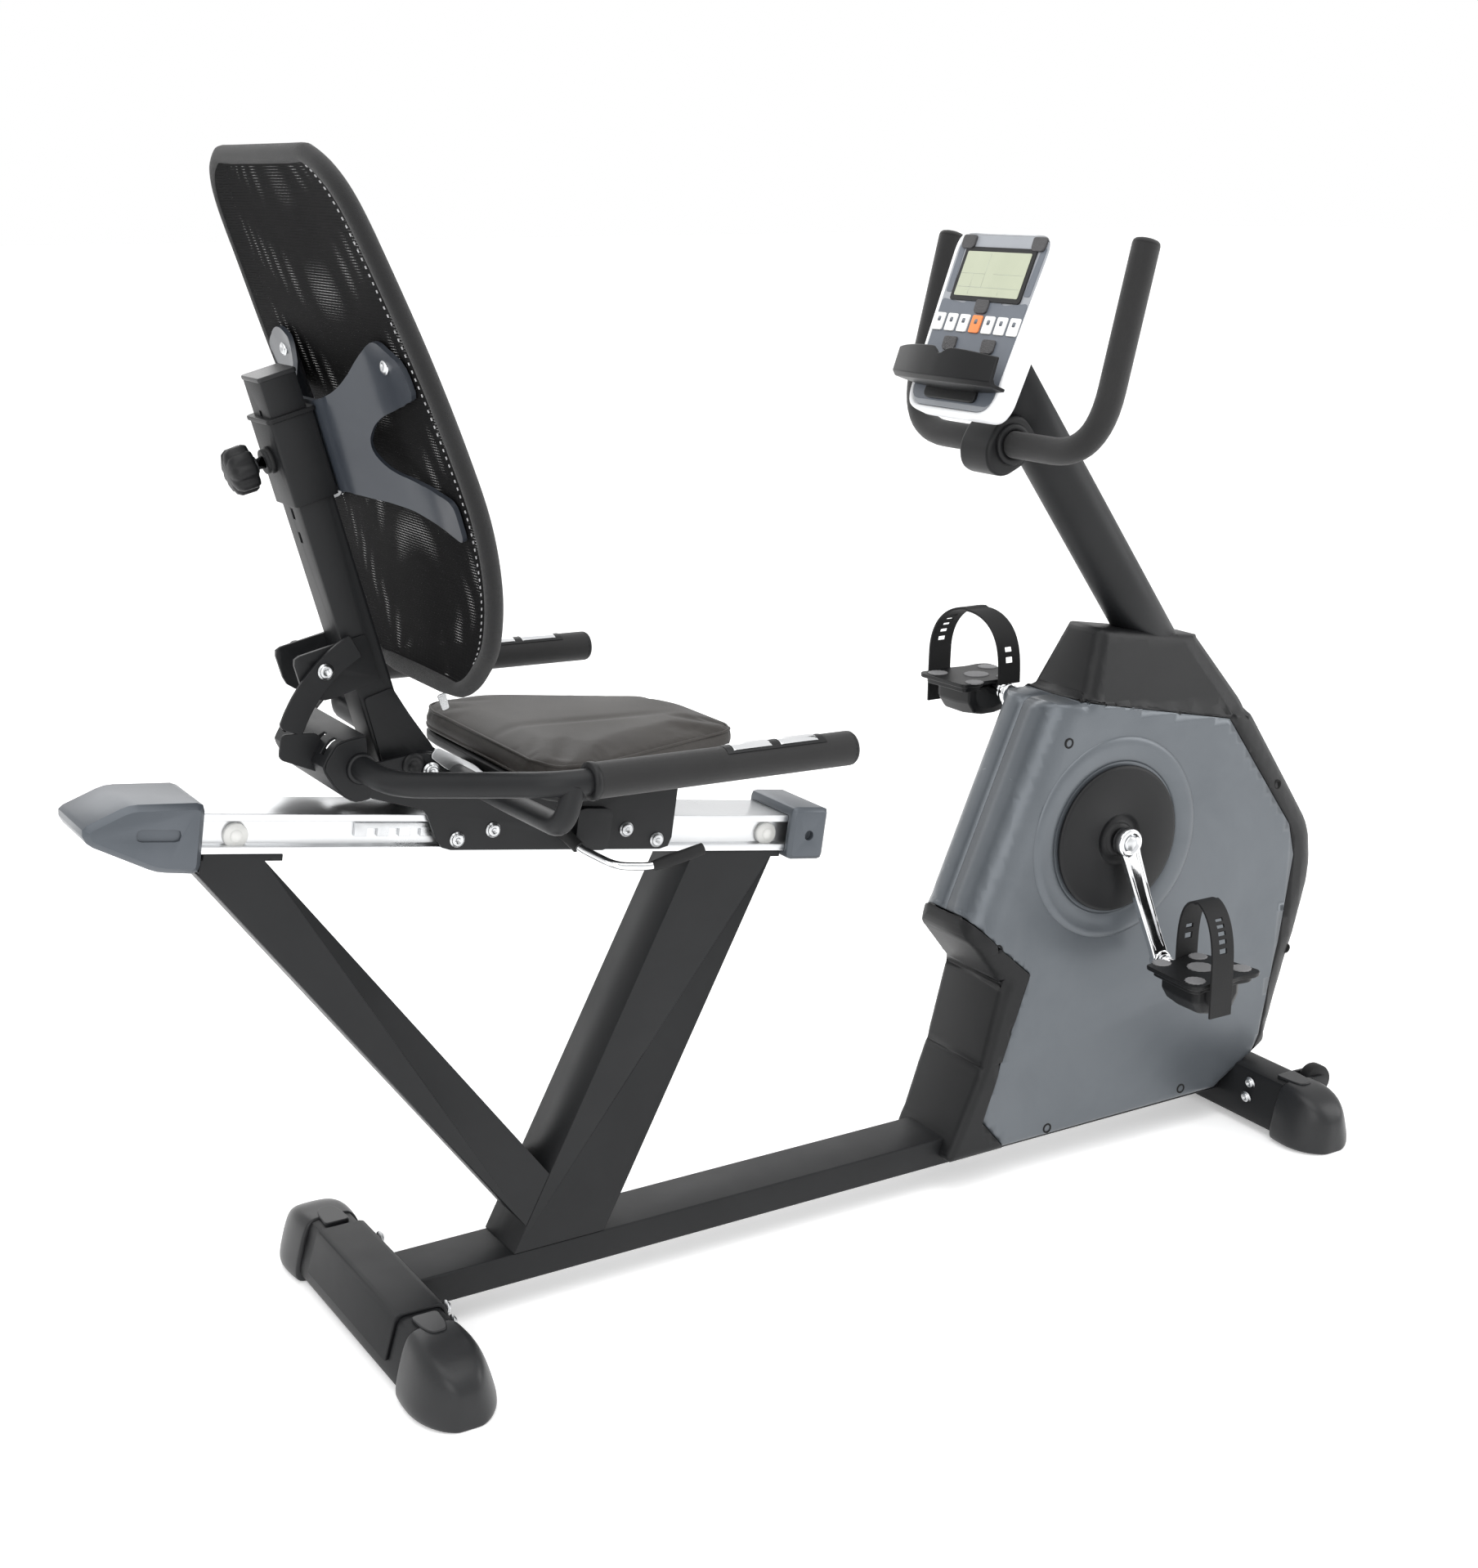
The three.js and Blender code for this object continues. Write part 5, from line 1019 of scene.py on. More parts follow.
def on_console(outline, depth):
    return [console(depth, p[0], p[1]) for p in outline]


tub_rings = [
    on_console(console_outline(g), a)
    for a, g in [
        (0.5, -8), (-3.4, -7.4), (-4.4, -6), (-4.2, -4), (-2.5, -2.4), (2, -1.6), (18, -1.2),
        (25, -2.4), (29, -6), (31, -12),
    ]
]
tub = blended("console_tub", tub_rings)
settle(tub, "frame", white_shell, ["console_housing"])
settle(
    plate("console_faceplate", console, console_outline(-8.3), -3.2, 1.5, "YZ", 0.5), "frame",
    panel_grey, ["console_face"],
)

SLATE = finish_of("slate", (0.085, 0.10, 0.125), (0.11, 0.125, 0.15), (0.35, 0.48), 2000, 0.08, coat=0.1)
overlay = rounded(
    [
        (-80, -10, 16), (-84, 118, 6), (-36, 113, 12), (-26, 124, 10), (26, 124, 10), (36, 113, 12),
        (84, 118, 6), (80, -10, 16),
    ],
    8, 5,
)
settle(plate("console_overlay", console, overlay, -3.9, -3.1, "YZ", 0.25), "frame", SLATE)
for y in (-1, 1):
    strip = rounded([(y * 70, 126, 3), (y * 74, 186, 3), (y * 84, 186, 3), (y * 82, 126, 3)], 3, 3)
    settle(
        plate(f"console_side_strip_{y + 1}", console, strip, -3.7, -3.1, "YZ", 0.2), "frame", SLATE,
    )
frame_outer = rounded([(-69, 116), (-69, 184), (69, 184), (69, 116)], 5, 4)
settle(
    plate("display_frame", console, frame_outer, -5.0, -3.1, "YZ", 0.8), "frame", plastic_black,
)
window = rounded([(-62, 122), (-62, 178), (62, 178), (62, 122)], 2, 3)
settle(
    plate("display_window", console, window, -5.5, -4.6, "YZ", 0.2), "frame", lcd,
    ["console_display"],
)
lcd_line = finish_of("lcd_line", (0.33, 0.36, 0.29), (0.36, 0.39, 0.32), (0.2, 0.3), 300, 0.01)
pebbled = cells_finish("pebbled", (0.045, 0.044, 0.046), (0.065, 0.063, 0.066), (0.5, 0.65), 520, 0.5)
lines = []
for i, (y0, z0, y1, z1) in enumerate([
    (-60, 133, 60, 133.5), (-60, 150, -2, 150.4), (14, 133, 14.5, 176), (36, 133, 36.4, 150),
    (-22, 124, -21.6, 133), (14, 150, 60, 150.4), (36, 124, 36.4, 133),
]):
    lines.append(plate(
        f"segment_{i}", console, [(y0, z0), (y1, z0), (y1, z1), (y0, z1)], -5.6, -5.4, "YZ", 0,
    ))
settle(joined("display_segments", lines), "frame", lcd_line)

# %% [markdown]
# The five buttons are textured rubber caps that can be pressed, so each rides its own body.
# The seven keys are one printed membrane, white but for the orange one in the middle.

# %% Buttons, keys and shelf
BUTTONS = {
    "upper_right": (-68, 189), "upper_left": (68, 189), "enter": (0, 109), "lower_right": (-38, 61),
    "lower_left": (38, 61),
}
for name, (y, z) in BUTTONS.items():
    shape = rounded(
        [(y - 13.5, z - 8, 7), (y - 12.5, z + 9.5, 4), (y + 13, z + 9.5, 4), (y + 12, z - 8, 7)], 5, 5,
    )
    cap = plate(f"button_{name}_cap", console, shape, -6.4, -2.4, "YZ", 1.2)
    settle(cap, f"button_{name}", pebbled, [f"button_{name}"])
whites, prints = [], []
for i in range(7):
    y = (3 - i) * 24.5
    shape = rounded([(y - 9.5, 77), (y - 9.5, 99), (y + 9.5, 99), (y + 9.5, 77)], 2.5, 4)
    key = plate(f"key_{i}", console, shape, -5.6, -3.4, "YZ", 0.6)
    if i == 3:
        settle(key, "frame", key_orange)
    else:
        whites.append(key)
    mark = rounded([(y - 3, 88), (y - 3, 94), (y + 3, 94), (y + 3, 88)], 1.5, 3)
    prints.append(plate(f"mark_{i}", console, mark, -5.75, -5.5, "YZ", 0))
settle(joined("console_keys", whites), "frame", key_white, ["key_strip"])
settle(joined("key_marks", prints), "frame", SLATE)

tray_rings = []
for i in range(-16, 17):
    y = 98 * i / 16
    share = abs(y) / 98
    front = -52 + 22 * share ** 2.2
    high = 44 - 9 * math.exp(-((y + 14) / 9) ** 2)
    low = 4 + 6 * share ** 2
    section = [
        (front - 1, high), (front + 2.5, high + 1), (front + 4.5, low + 9), (front + 9, low + 4),
        (-4.6, low + 4), (-4.6, low), (front + 6, low - 1), (front, low + 4),
    ]
    tray_rings.append([console(a, y, z) for a, z in section])
print(len(tray_rings), "sections across the shelf")
settle(
    bevelled(blended("console_shelf", tray_rings), 1.2, 3, 35), "frame", plastic_black,
    ["console_tray"],
)
stand = rounded([(-52, -8, 10), (-44, 44, 6), (44, 44, 6), (52, -8, 10)], 8, 4)
settle(plate("shelf_root", console, stand, -9, -3, "YZ", 2), "frame", plastic_black)

# %% [markdown]
# The backrest is a steel hoop in a stocking of black mesh, so it has a front layer and a rear layer with
# air between them.
# Where the holes of the two layers line up the light comes through, and the spots make a moving pattern.
# The stocking closes under the hoop, and a row of stitches runs round its front, inside the hoop.

# %% Backrest hoop
BACK_PROFILE = [
    (38, 80, 70), (44, 95, 122), (51, 118, 156), (58, 150, 186), (67, 205, 206), (71, 274, 216),
    (67, 350, 217), (59, 440, 213), (50, 532, 200), (43, 595, 187), (39, 628, 164), (37, 646, 128),
    (36, 655, 92),
]
BACK_LOW, BACK_HIGH = 80, 655
RIM = 9.5


def mirrored(path):
    return [Vector((p.x, -p.y, p.z)) for p in path]


def between(p, t):
    """The point a share t of the way from p[1] to p[2], on a smooth curve through four points."""
    bend = 2 * p[0] - 5 * p[1] + 4 * p[2] - p[3]
    twist = 3 * p[1] - p[0] - 3 * p[2] + p[3]
    return 0.5 * ((2 * p[1]) + (p[2] - p[0]) * t + bend * t * t + twist * t ** 3)


def smooth_through(rows, count):
    """Points spread evenly along a smooth curve through rows of numbers."""
    fine = []
    for i in range(len(rows) - 1):
        p = [Vector(rows[max(0, min(len(rows) - 1, i + k))]) for k in (-1, 0, 1, 2)]
        fine += [between(p, k / 24) for k in range(24)]
    fine.append(Vector(rows[-1]))
    lengths = [0]
    for a, b in zip(fine, fine[1:]):
        lengths.append(lengths[-1] + (b - a).length)
    spread = []
    for i in range(count):
        want = lengths[-1] * i / (count - 1)
        k = max(j for j in range(len(lengths)) if lengths[j] <= want + 1e-9)
        if k == len(fine) - 1:
            spread.append(fine[-1])
        else:
            spread.append(fine[k].lerp(fine[k + 1], (want - lengths[k]) / (lengths[k + 1] - lengths[k])))
    return spread


side_curve = smooth_through(BACK_PROFILE, 90)
rim_loop = [
    Vector((p[0], -(p[2] - RIM), max(BACK_LOW + RIM, min(BACK_HIGH - RIM, p[1]))))
    for p in side_curve
]
rim_loop += mirrored(reversed(rim_loop))
rim = tube("backrest_rim", back, rim_loop, RIM)
rim.data.splines[0].use_cyclic_u = True
settle(rim, "backrest", back_binding, ["backrest_hoop"])

# %% [markdown]
# Each layer of mesh is one flat sheet stretched over the hoop, dished a little between its sides.
# Its UV map is in metres on the flat cloth, so that the knitted holes keep their size.

# %% Backrest mesh
def mesh_layer(name, offset):
    rows = [p for p in side_curve if BACK_LOW + RIM < p[1] < BACK_HIGH - RIM]
    columns = 25
    points, flat = [], []
    run = 0.0
    for r, p in enumerate(rows):
        if r:
            last = rows[r - 1]
            run += (back(p[0], 0, p[1]) - back(last[0], 0, last[1])).length
        half = p[2] - RIM
        for c in range(columns):
            share = 2 * c / (columns - 1) - 1
            belly = offset * (0.86 - 0.3 * (1 - share * share))
            points.append(back(p[0] + belly, half * share, p[1]))
            flat.append((half * share / 1000, run))
    faces = [
        (r * columns + c, r * columns + c + 1, (r + 1) * columns + c + 1, (r + 1) * columns + c)
        for r in range(len(rows) - 1)
        for c in range(columns - 1)
    ]
    layer = mesh_object(name, points, faces)
    uv = layer.data.uv_layers.new(name="cloth")
    for loop in layer.data.loops:
        u, v = flat[loop.vertex_index]
        uv.data[loop.index].uv = (u + 0.0004 * offset, v * (1 + 0.0006 * offset))
    area = sum(f.area for f in layer.data.polygons)
    wide = max(p[2] for p in rows) * 2 / 1000
    print(
        name, "is", round(wide, 3), "by", round(run, 3), "m flat, with", round(area, 4),
        "square metres of cloth",
    )
    return layer, wide, run, area


for name, offset in (("front", RIM), ("rear", -RIM)):
    layer, wide, run, area = mesh_layer(f"mesh_{name}", offset)
    settle(layer, "backrest", back_mesh, ["backrest_mesh"])

# %% [markdown]
# The stitches and the zip pull that closes the stocking are small, and they tell the eye that this is sewn
# cloth.

# %% Stitches and zip pull
def stitches(name, path, where, length, width, pitch):
    """Short threads laid along a path."""
    threads = []
    spare = 0.0
    for a, b in zip(path, path[1:]):
        run = (b - a).length
        spare += run
        if spare < pitch or run == 0:
            continue
        spare = 0.0
        along = (b - a).normalized()
        across = along.cross(Vector((1, 0, 0))).normalized()
        mid = (a + b) / 2
        ring = [
            [
                where(*(mid + along * length * s + across * width * u + Vector((h, 0, 0))))
                for u, h in ((-1, 0), (0, 0.9), (1, 0), (0, -0.9))
            ]
            for s in (-0.5, 0.5)
        ]
        threads.append(blended(f"{name}_{len(threads)}", ring))
    return joined(name, threads)


sewn = [p for p in side_curve if 120 < p[1] < 640]
sew_line = [Vector((p[0] + RIM * 0.93, -(p[2] - RIM * 2.1), p[1])) for p in sewn]
fine_line = [a.lerp(b, k / 4) for a, b in zip(sew_line, sew_line[1:]) for k in range(4)]
thread = finish_of("thread", (0.42, 0.42, 0.43), (0.52, 0.52, 0.53), (0.6, 0.8), 900, 0.2)
rear_line = [p - Vector((RIM * 1.86, 0, 0)) for p in fine_line]
for name, line in (("right", fine_line), ("left", mirrored(fine_line)), ("rear", rear_line)):
    row = stitches(f"mesh_stitches_{name}", line, back, 3.0, 0.55, 6.5)
    settle(row, "backrest", thread)
pull = plate("zip_pull", back, rounded([(28, 62), (36, 62), (37, 80), (27, 80)], 2, 3), -62, -60.2, "XZ", 0.4)
settle(pull, "backrest", steel)

# %% [markdown]
# One pressed steel bracket carries the backrest.
# It wraps the sleeve and sends two arms out to each side, which curve round to meet the hoop.

# %% Backrest bracket
BRACKET_FACE = [
    (-184, 86, 12), (-184, 52, 12), (-132, 38, 30), (-90, 26, 24), (-73, 0, 20), (-90, -30, 24),
    (-132, -46, 30), (-184, -57, 12), (-184, -100, 12), (-132, -87, 30), (-88, -64, 24), (-42, -44, 18),
]


def bracket_out(y):
    """How far ahead of the post's middle the pressed sheet stands at a distance from the middle."""
    bend = [(0, 5), (26, 5), (48, 12), (76, 30), (104, 41), (140, 47), (184, 50)]
    for (a, u), (b, v) in zip(bend, bend[1:]):
        if y <= b:
            t = (y - a) / (b - a)
            return u + (v - u) * (t * t * (3 - 2 * t) if b < 60 else t)
    return bend[-1][1]


def bracket():
    upper = [(136, 110, 34), (98, 96, 30), (60, 60, 22), (36, 52, 16)]
    corners = []
    for side in (BRACKET_FACE, upper):
        corners += side + [(-y, z, r) for y, z, r in reversed(side)]
    work = bmesh.new()
    work.faces.new([work.verts.new((p.x, p.y, 0)) for p in rounded(corners, 10, 6)])
    for y in range(-180, 181, 6):
        slice_at(work, (y, 0), (1, 0), 0.01)
    for z in range(-105, 110, 15):
        slice_at(work, (0, z), (0, 1), 0.01)
    for vert in work.verts:
        y, z, _ = vert.co
        level = 356 + z
        row = min(side_curve, key=lambda p: abs(p[1] - level))
        limit = row[0] - RIM - 2.4
        share = max(0, min(1, (abs(y) - 60) / 90))
        share = share * share * (3 - 2 * share)
        vert.co = back(bracket_out(abs(y)) * (1 - share) + limit * share, y, level)
    obj = object_from(work, "back_bracket_sheet")
    thickened(obj, 5)
    bevelled(obj, 1.2, 3, 50)
    settle(obj, "backrest", blue_satin, ["back_bracket"])


bracket()
print("bracket arms reach", bracket_out(184), "mm ahead of the post's middle")

# %% [markdown]
# The seat cushion is foam under sewn vinyl, on a plastic pan.
# Its cover is blown up as cloth from the cut shape, so that it is tight at the seam and full in the middle.
# Welts run round its top and bottom edges, and a shallow crease is sewn along the middle.

# %% Seat cushion
SEAT_REAR, SEAT_FRONT, REAR_HALF, FRONT_HALF = -60, 232, 200, 76


def seat_outline(inset, front_share):
    """The cushion's plan, drawn in by an inset, and by a share of it across its narrow front."""
    rear, front = SEAT_REAR + inset, SEAT_FRONT - inset
    rear_y, front_y = REAR_HALF - inset, FRONT_HALF - inset * front_share
    return rounded(
        [(rear, -rear_y, 88), (front, -front_y, 28), (front, front_y, 28), (rear, rear_y, 88)], 30, 12,
    )


def seat_ring(inset, z):
    return [seat(p.x, p.y, z) for p in seat_outline(inset, 0.6)]


SEAT_RINGS = [(7, 13.6), (2, 15), (0, 20), (0, 38), (2.5, 43), (8, 46), (24, 48.5), (44, 50), (64, 50.5)]
cushion = blended("seat_cushion_cover", [seat_ring(inset, z) for inset, z in SEAT_RINGS])


MOST_RISE = 0.007


def puff(obj, pressure, is_held):
    """Blows the cover up as cloth, held along its lower edge, and keeps its first length and width."""
    dense = obj.modifiers.new("dense", "REMESH")
    dense.mode = "VOXEL"
    dense.voxel_size = 0.006
    bpy.context.view_layer.objects.active = obj
    bpy.ops.object.modifier_apply(modifier="dense")
    rest = [v.co.copy() for v in obj.data.vertices]
    held = obj.vertex_groups.new(name="held")
    held.add([v.index for v in obj.data.vertices if is_held(v.co)], 1.0, "REPLACE")
    cloth = obj.modifiers.new("cloth", "CLOTH")
    cloth.settings.vertex_group_mass = "held"
    cloth.settings.use_pressure = True
    cloth.settings.uniform_pressure_force = pressure
    cloth.settings.tension_stiffness = 25
    cloth.settings.compression_stiffness = 25
    cloth.settings.bending_stiffness = 2
    cloth.settings.effector_weights.gravity = 0
    cloth.point_cache.frame_start, cloth.point_cache.frame_end = 1, 20
    for step in range(1, 21):
        scene.frame_set(step)
    bpy.ops.object.modifier_apply(modifier="cloth")
    scene.frame_set(1)
    furthest = 0.0
    for vert, was in zip(obj.data.vertices, rest):
        moved = vert.co - was
        if moved.length > MOST_RISE:
            vert.co = was + moved.normalized() * MOST_RISE
        furthest = max(furthest, (vert.co - was).length)
    middle = sum(rest, Vector()) / len(rest)
    for axis in range(3):
        grown = max(abs(p[axis] - middle[axis]) for p in rest)
        now = max(abs(v.co[axis] - middle[axis]) for v in obj.data.vertices)
        for vert in obj.data.vertices:
            vert.co[axis] = middle[axis] + (vert.co[axis] - middle[axis]) * grown / now
    obj.vertex_groups.clear()
    print(obj.name, "rose by up to", round(furthest * 1000, 1), "mm")

# %% [markdown]
# The crease is pressed in after the cover is blown up, and the welts are laid on the finished cover.

# %% Cushion cover and welts
seat_back = Matrix.Rotation(math.radians(-3.2), 3, "Y")


def in_seat(point):
    """A point of the model in the seat's own tilted axes, in millimetres."""
    return seat_back @ ((point - REAR_FOOT) * 1000 - Vector((200, 0, 646)))


puff(cushion, 4.0, lambda p: in_seat(p).z < 30)
for vert in cushion.data.vertices:
    local = in_seat(vert.co)
    if local.z > 30:
        along = max(0, 1 - ((local.x - 60) / 130) ** 2)
        groove = 2.6 * along * math.exp(-((local.y + 29) / 9) ** 2)
        vert.co.z -= groove / 1000
subdivided(cushion, 1)
smoothed(cushion.data)
settle(cushion, "carriage", vinyl, ["seat_cushion"])

cover = BVHTree.FromObject(cushion, bpy.context.evaluated_depsgraph_get())
welts = []
for z, inset in ((40.5, 1.0), (17.5, 0.2)):
    welt = tube(f"welt_{z}", seat, [(p.x, p.y, z) for p in seat_outline(inset, 1)], 1.7)
    welt.data.splines[0].use_cyclic_u = True
    for point in welt.data.splines[0].points:
        place, normal, _, _ = cover.find_nearest(point.co.xyz)
        point.co = (*(place + normal * 0.0004), 1)
    welts.append(welt)
settle(joined("seat_welts", welts), "carriage", vinyl)

# %% [markdown]
# The side arms are one bent tube each, welded to a folded bracket behind the seat and braced to the carriage.
# Foam sleeves cover their front ends, with a pulse sensor of two chrome plates let into each.

# %% Side arms and grips
ARM_Y = 303
for name, y in SIDES:
    route = bent(
        [(-22, y * 70, 690), (-18, y * 148, 688, 60), (96, y * ARM_Y, 709, 30), (432, y * ARM_Y, 701)],
        40, 10,
    )
    settle(
        tube(f"arm_tube_{name}", floor, route, 13.2), "carriage", frame_black,
        ["arm_frame"] if y < 0 else [],
    )
    brace = bent([(110, y * ARM_Y, 707), (98, y * 300, 664), (97, y * 170, 661), (97, y * 47, 660)], 34, 8)
    settle(tube(f"arm_brace_{name}", floor, brace, 11.8), "carriage", frame_black)
    sleeve = [(128, y * ARM_Y, 708.2), (260, y * ARM_Y, 705), (330, y * ARM_Y, 703.4), (431, y * ARM_Y, 701)]
    settle(tube(f"grip_foam_{name}", floor, sleeve, 18.4), "carriage", foam, [f"grip_{name}"])
    ends = []
    tip = axes_at(431, 701, 1.35)
    ends.append(turned(
        f"grip_tip_{name}", tip, (0, y * ARM_Y, 0), "X",
        [(18.3, -1), (18, 2), (16.2, 4.6), (12, 6), (0.01, 6.4)], 32,
    ))
    ends.append(turned(
        f"grip_ring_{name}", axes_at(128, 708.2, 1.35), (0, y * ARM_Y, 0), "X",
        [(13.5, -3), (19.2, -3), (19.8, 0), (19.2, 4), (18.2, 4.6)], 32,
    ))
    settle(joined(f"grip_ends_{name}", ends), "carriage", plastic_black)
    wrap, plates = [], []
    for start, end, radius, half, store in (
        (276, 398, 19.2, 44, wrap), (284, 332, 20.2, 34, plates), (340, 388, 20.2, 34, plates),
    ):
        where = axes_at((start + end) / 2, 705 - ((start + end) / 2 - 260) * 0.0236, 1.35)
        span = (end - start) / 2
        rings = []
        for s, shrink in (
            (-span, 3), (-span + 1.5, 0.4), (-span + 4, 0), (span - 4, 0), (span - 1.5, 0.4), (span, 3),
        ):
            angles = [math.radians(90 + half * k / 5) for k in range(-5, 6)]
            outer = [
                where(s, y * ARM_Y + (radius - shrink) * math.cos(a), (radius - shrink) * math.sin(a))
                for a in angles
            ]
            inner = [where(s, y * ARM_Y + 17 * math.cos(a), 17 * math.sin(a)) for a in reversed(angles)]
            rings.append(outer + inner)
        store.append(bevelled(blended(f"sensor_{name}_{start}", rings), 0.6, 2, 40))
    settle(joined(f"pulse_holder_{name}", wrap), "carriage", plastic_black)
    settle(joined(f"pulse_plates_{name}", plates), "carriage", chrome)

# %% [markdown]
# The arms meet at a folded sheet bracket behind the seat, with slots in its back and a cheek at each end.

# %% Arm bracket
BRACKET_SIDE = [
    (-14, 722), (-33, 720), (-46, 716), (-58, 700), (-60, 692), (-50, 674), (-40, 662), (-28, 655),
    (-12, 656),
]
smooth_side = smooth_through(BRACKET_SIDE, 25)
arm_points, arm_faces = [], []
Y_LINES = [-73, -65, -60, -52, -47, -37, -32, -24, -19, 0, 19, 24, 32, 37, 47, 52, 60, 65, 73]
for p in smooth_side:
    arm_points += [floor(p[0], y, p[1]) for y in Y_LINES]
wide = len(Y_LINES)
for r in range(len(smooth_side) - 1):
    for c in range(wide - 1):
        if 5 <= r <= 8 and c in (2, 6, 11, 15):
            continue
        a = r * wide + c
        arm_faces.append((a, a + 1, a + 1 + wide, a + wide))
fold = mesh_object("arm_bracket", arm_points, arm_faces)
thickened(fold, 3.2)
bevelled(fold, 1.0, 3, 40)
settle(fold, "carriage", frame_black)
cheeks = [
    plate(f"cheek_{y}", floor, rounded(BRACKET_SIDE, 3, 3), y * 73 - 1.6, y * 73 + 1.6, "XZ", 1)
    for y in (-1, 1)
]
rings = [
    turned(
        f"weld_{y}", floor, (-21, y * 76, 689), "Y", [(13, -2), (17, 0), (15.5, 2.6), (13, 3.4)], 32,
        out=y,
    )
    for y in (-1, 1)
]
settle(joined("arm_bracket_ends", cheeks + rings), "carriage", frame_black)

# %% [markdown]
# The seat lever is a chromed rod with a rubber sleeve where the hand lifts it.
# A second sleeve covers the end that works the latch.

# %% Seat lever
LEVER = bent([(404, -56, -18), (414, -74, -29), (442, -112, -40), (482, -120, -39), (541, -125, -18)], 14, 6)
settle(tube("lever_rod", rail, LEVER, 4.6), "seat_lever", chrome, ["seat_lever"])
grip_path = [
    Vector((484, -120.2, -38.2)), Vector((500, -121.4, -33)), Vector((520, -123, -26)),
    Vector((543, -125.2, -17.3)),
]
settle(
    tube("lever_grip", rail, grip_path, 7.0, [0.8, 1, 1.02, 0.98]), "seat_lever", rubber_black,
)
root = [Vector((399, -55, -14.6)), Vector((405, -58, -19)), Vector((414, -73.5, -28.6))]
settle(tube("lever_root", rail, root, 7.2), "seat_lever", rubber_black)

# %% [markdown]
# Two fluted knobs set the back: one pulls a pin to raise it and one pulls a pin to recline it.
# Each is moulded plastic on a turned shank.

# %% Knobs and sleeve
def knob(name, body, where, centre, axis, radius, long, sign, stands_for, flutes=9):
    profile = [
        (radius * 0.45, 0), (radius * 0.93, 0.6), (radius, long * 0.16), (radius * 0.98, long * 0.72),
        (radius * 0.86, long * 0.9), (radius * 0.6, long), (0.01, long * 1.02),
    ]
    head = turned(f"{name}_head", where, centre, axis, profile, 108, flutes, radius * 0.10, sign)
    return settle(head, body, plastic_black, stands_for)


PIN_X, PIN_Z = -73.3, 142.6
knob("height_knob", "height_knob", back, (-70, 0, 360), "X", 25, 26, -1, ["height_knob"])
settle(
    turned("height_shank", back, (-46, 0, 360), "X", [(6, 8), (6, -18), (9, -19), (9, -26), (0.01, -26)], 32),
    "height_knob", chrome,
)
settle(
    turned("height_collar", back, (-48, 0, 360), "X", [(14, 3), (14, -4), (12.5, -6.5), (7, -7), (7, 2)], 36),
    "backrest", plastic_black,
)
knob("recline_knob", "recline_knob", back, (PIN_X, 34, PIN_Z), "Y", 18, 21, 1, ["recline_knob"], 7)
settle(
    turned(
        "recline_pin", back, (PIN_X, 0, PIN_Z), "Y",
        [(5, -36), (5, 34), (8, 34.2), (8, 36), (0.01, 36)], 24,
    ),
    "recline_knob", steel,
)
cap = rounded([(-44.7, -26.8), (-44.7, 26.8), (-2.7, 26.8), (-2.7, -26.8)], 4, 4)
settle(plate("post_cap", back, cap, 440, 445, "XY", 1.6), "back_post", cap_grey)
guide = rounded([(-50.4, -33), (-50.4, 33), (3.2, 33), (3.2, -33)], 6, 4)
settle(plate("sleeve_lip", back, guide, 399, 404, "XY", 1.5), "backrest", plastic_black)

# %% [markdown]
# A steel quadrant beside the post guides the recline pin.
# Its foot stands on the carriage, and a bush and a link plate finish the hinge.

# %% Recline quadrant
reach = math.hypot(PIN_X, PIN_Z)
pin_angle = math.degrees(math.atan2(PIN_Z, PIN_X))
arc = []
outer_edge = [(-15, reach + 13)] + [(k * 5, reach + 13) for k in range(-2, 6)] + [(26, reach + 8)]
inner_edge = [(26, reach - 12)] + [(k * 5, reach - 14) for k in range(5, -3, -1)]
for a, r in [(-15, reach - 14)] + outer_edge + inner_edge:
    angle = math.radians(pin_angle + a)
    arc.append(Vector((r * math.cos(angle), r * math.sin(angle))))
fan = plate("recline_quadrant", back, rounded([(p.x, p.y) for p in arc], 3, 3), -38, -33.5, "XZ", 1)
foot = plate(
    "quadrant_foot", floor, rounded([(-92, 726), (-96, 700), (-52, 680), (-36, 690), (-54, 724)], 6, 4),
    -38, -33.5, "XZ", 1,
)
settle(joined("quadrant", [fan, foot]), "carriage", frame_black)
print("the quadrant turns at", round(reach, 1), "mm from the hinge")
bush = turned(
    "hinge_bush", floor, (48, -47, 677), "Y",
    [(13, 1), (13, -2), (10, -3.4), (6, -3.4), (5, -1), (0.01, -1)], 32,
)
settle(bush, "carriage", plastic_black)
link_plate = plate(
    "hinge_link", floor,
    rounded([(74, 694), (118, 668), (134, 652), (126, 646), (84, 668), (66, 684)], 5, 4), -51, -48,
    "XZ", 0.6,
)
settle(link_plate, "carriage", steel)

# %% [markdown]
# The ends of the feet are soft plastic boots that round off to the floor, and two small wheels on the front
# foot let the bike be tipped and rolled.

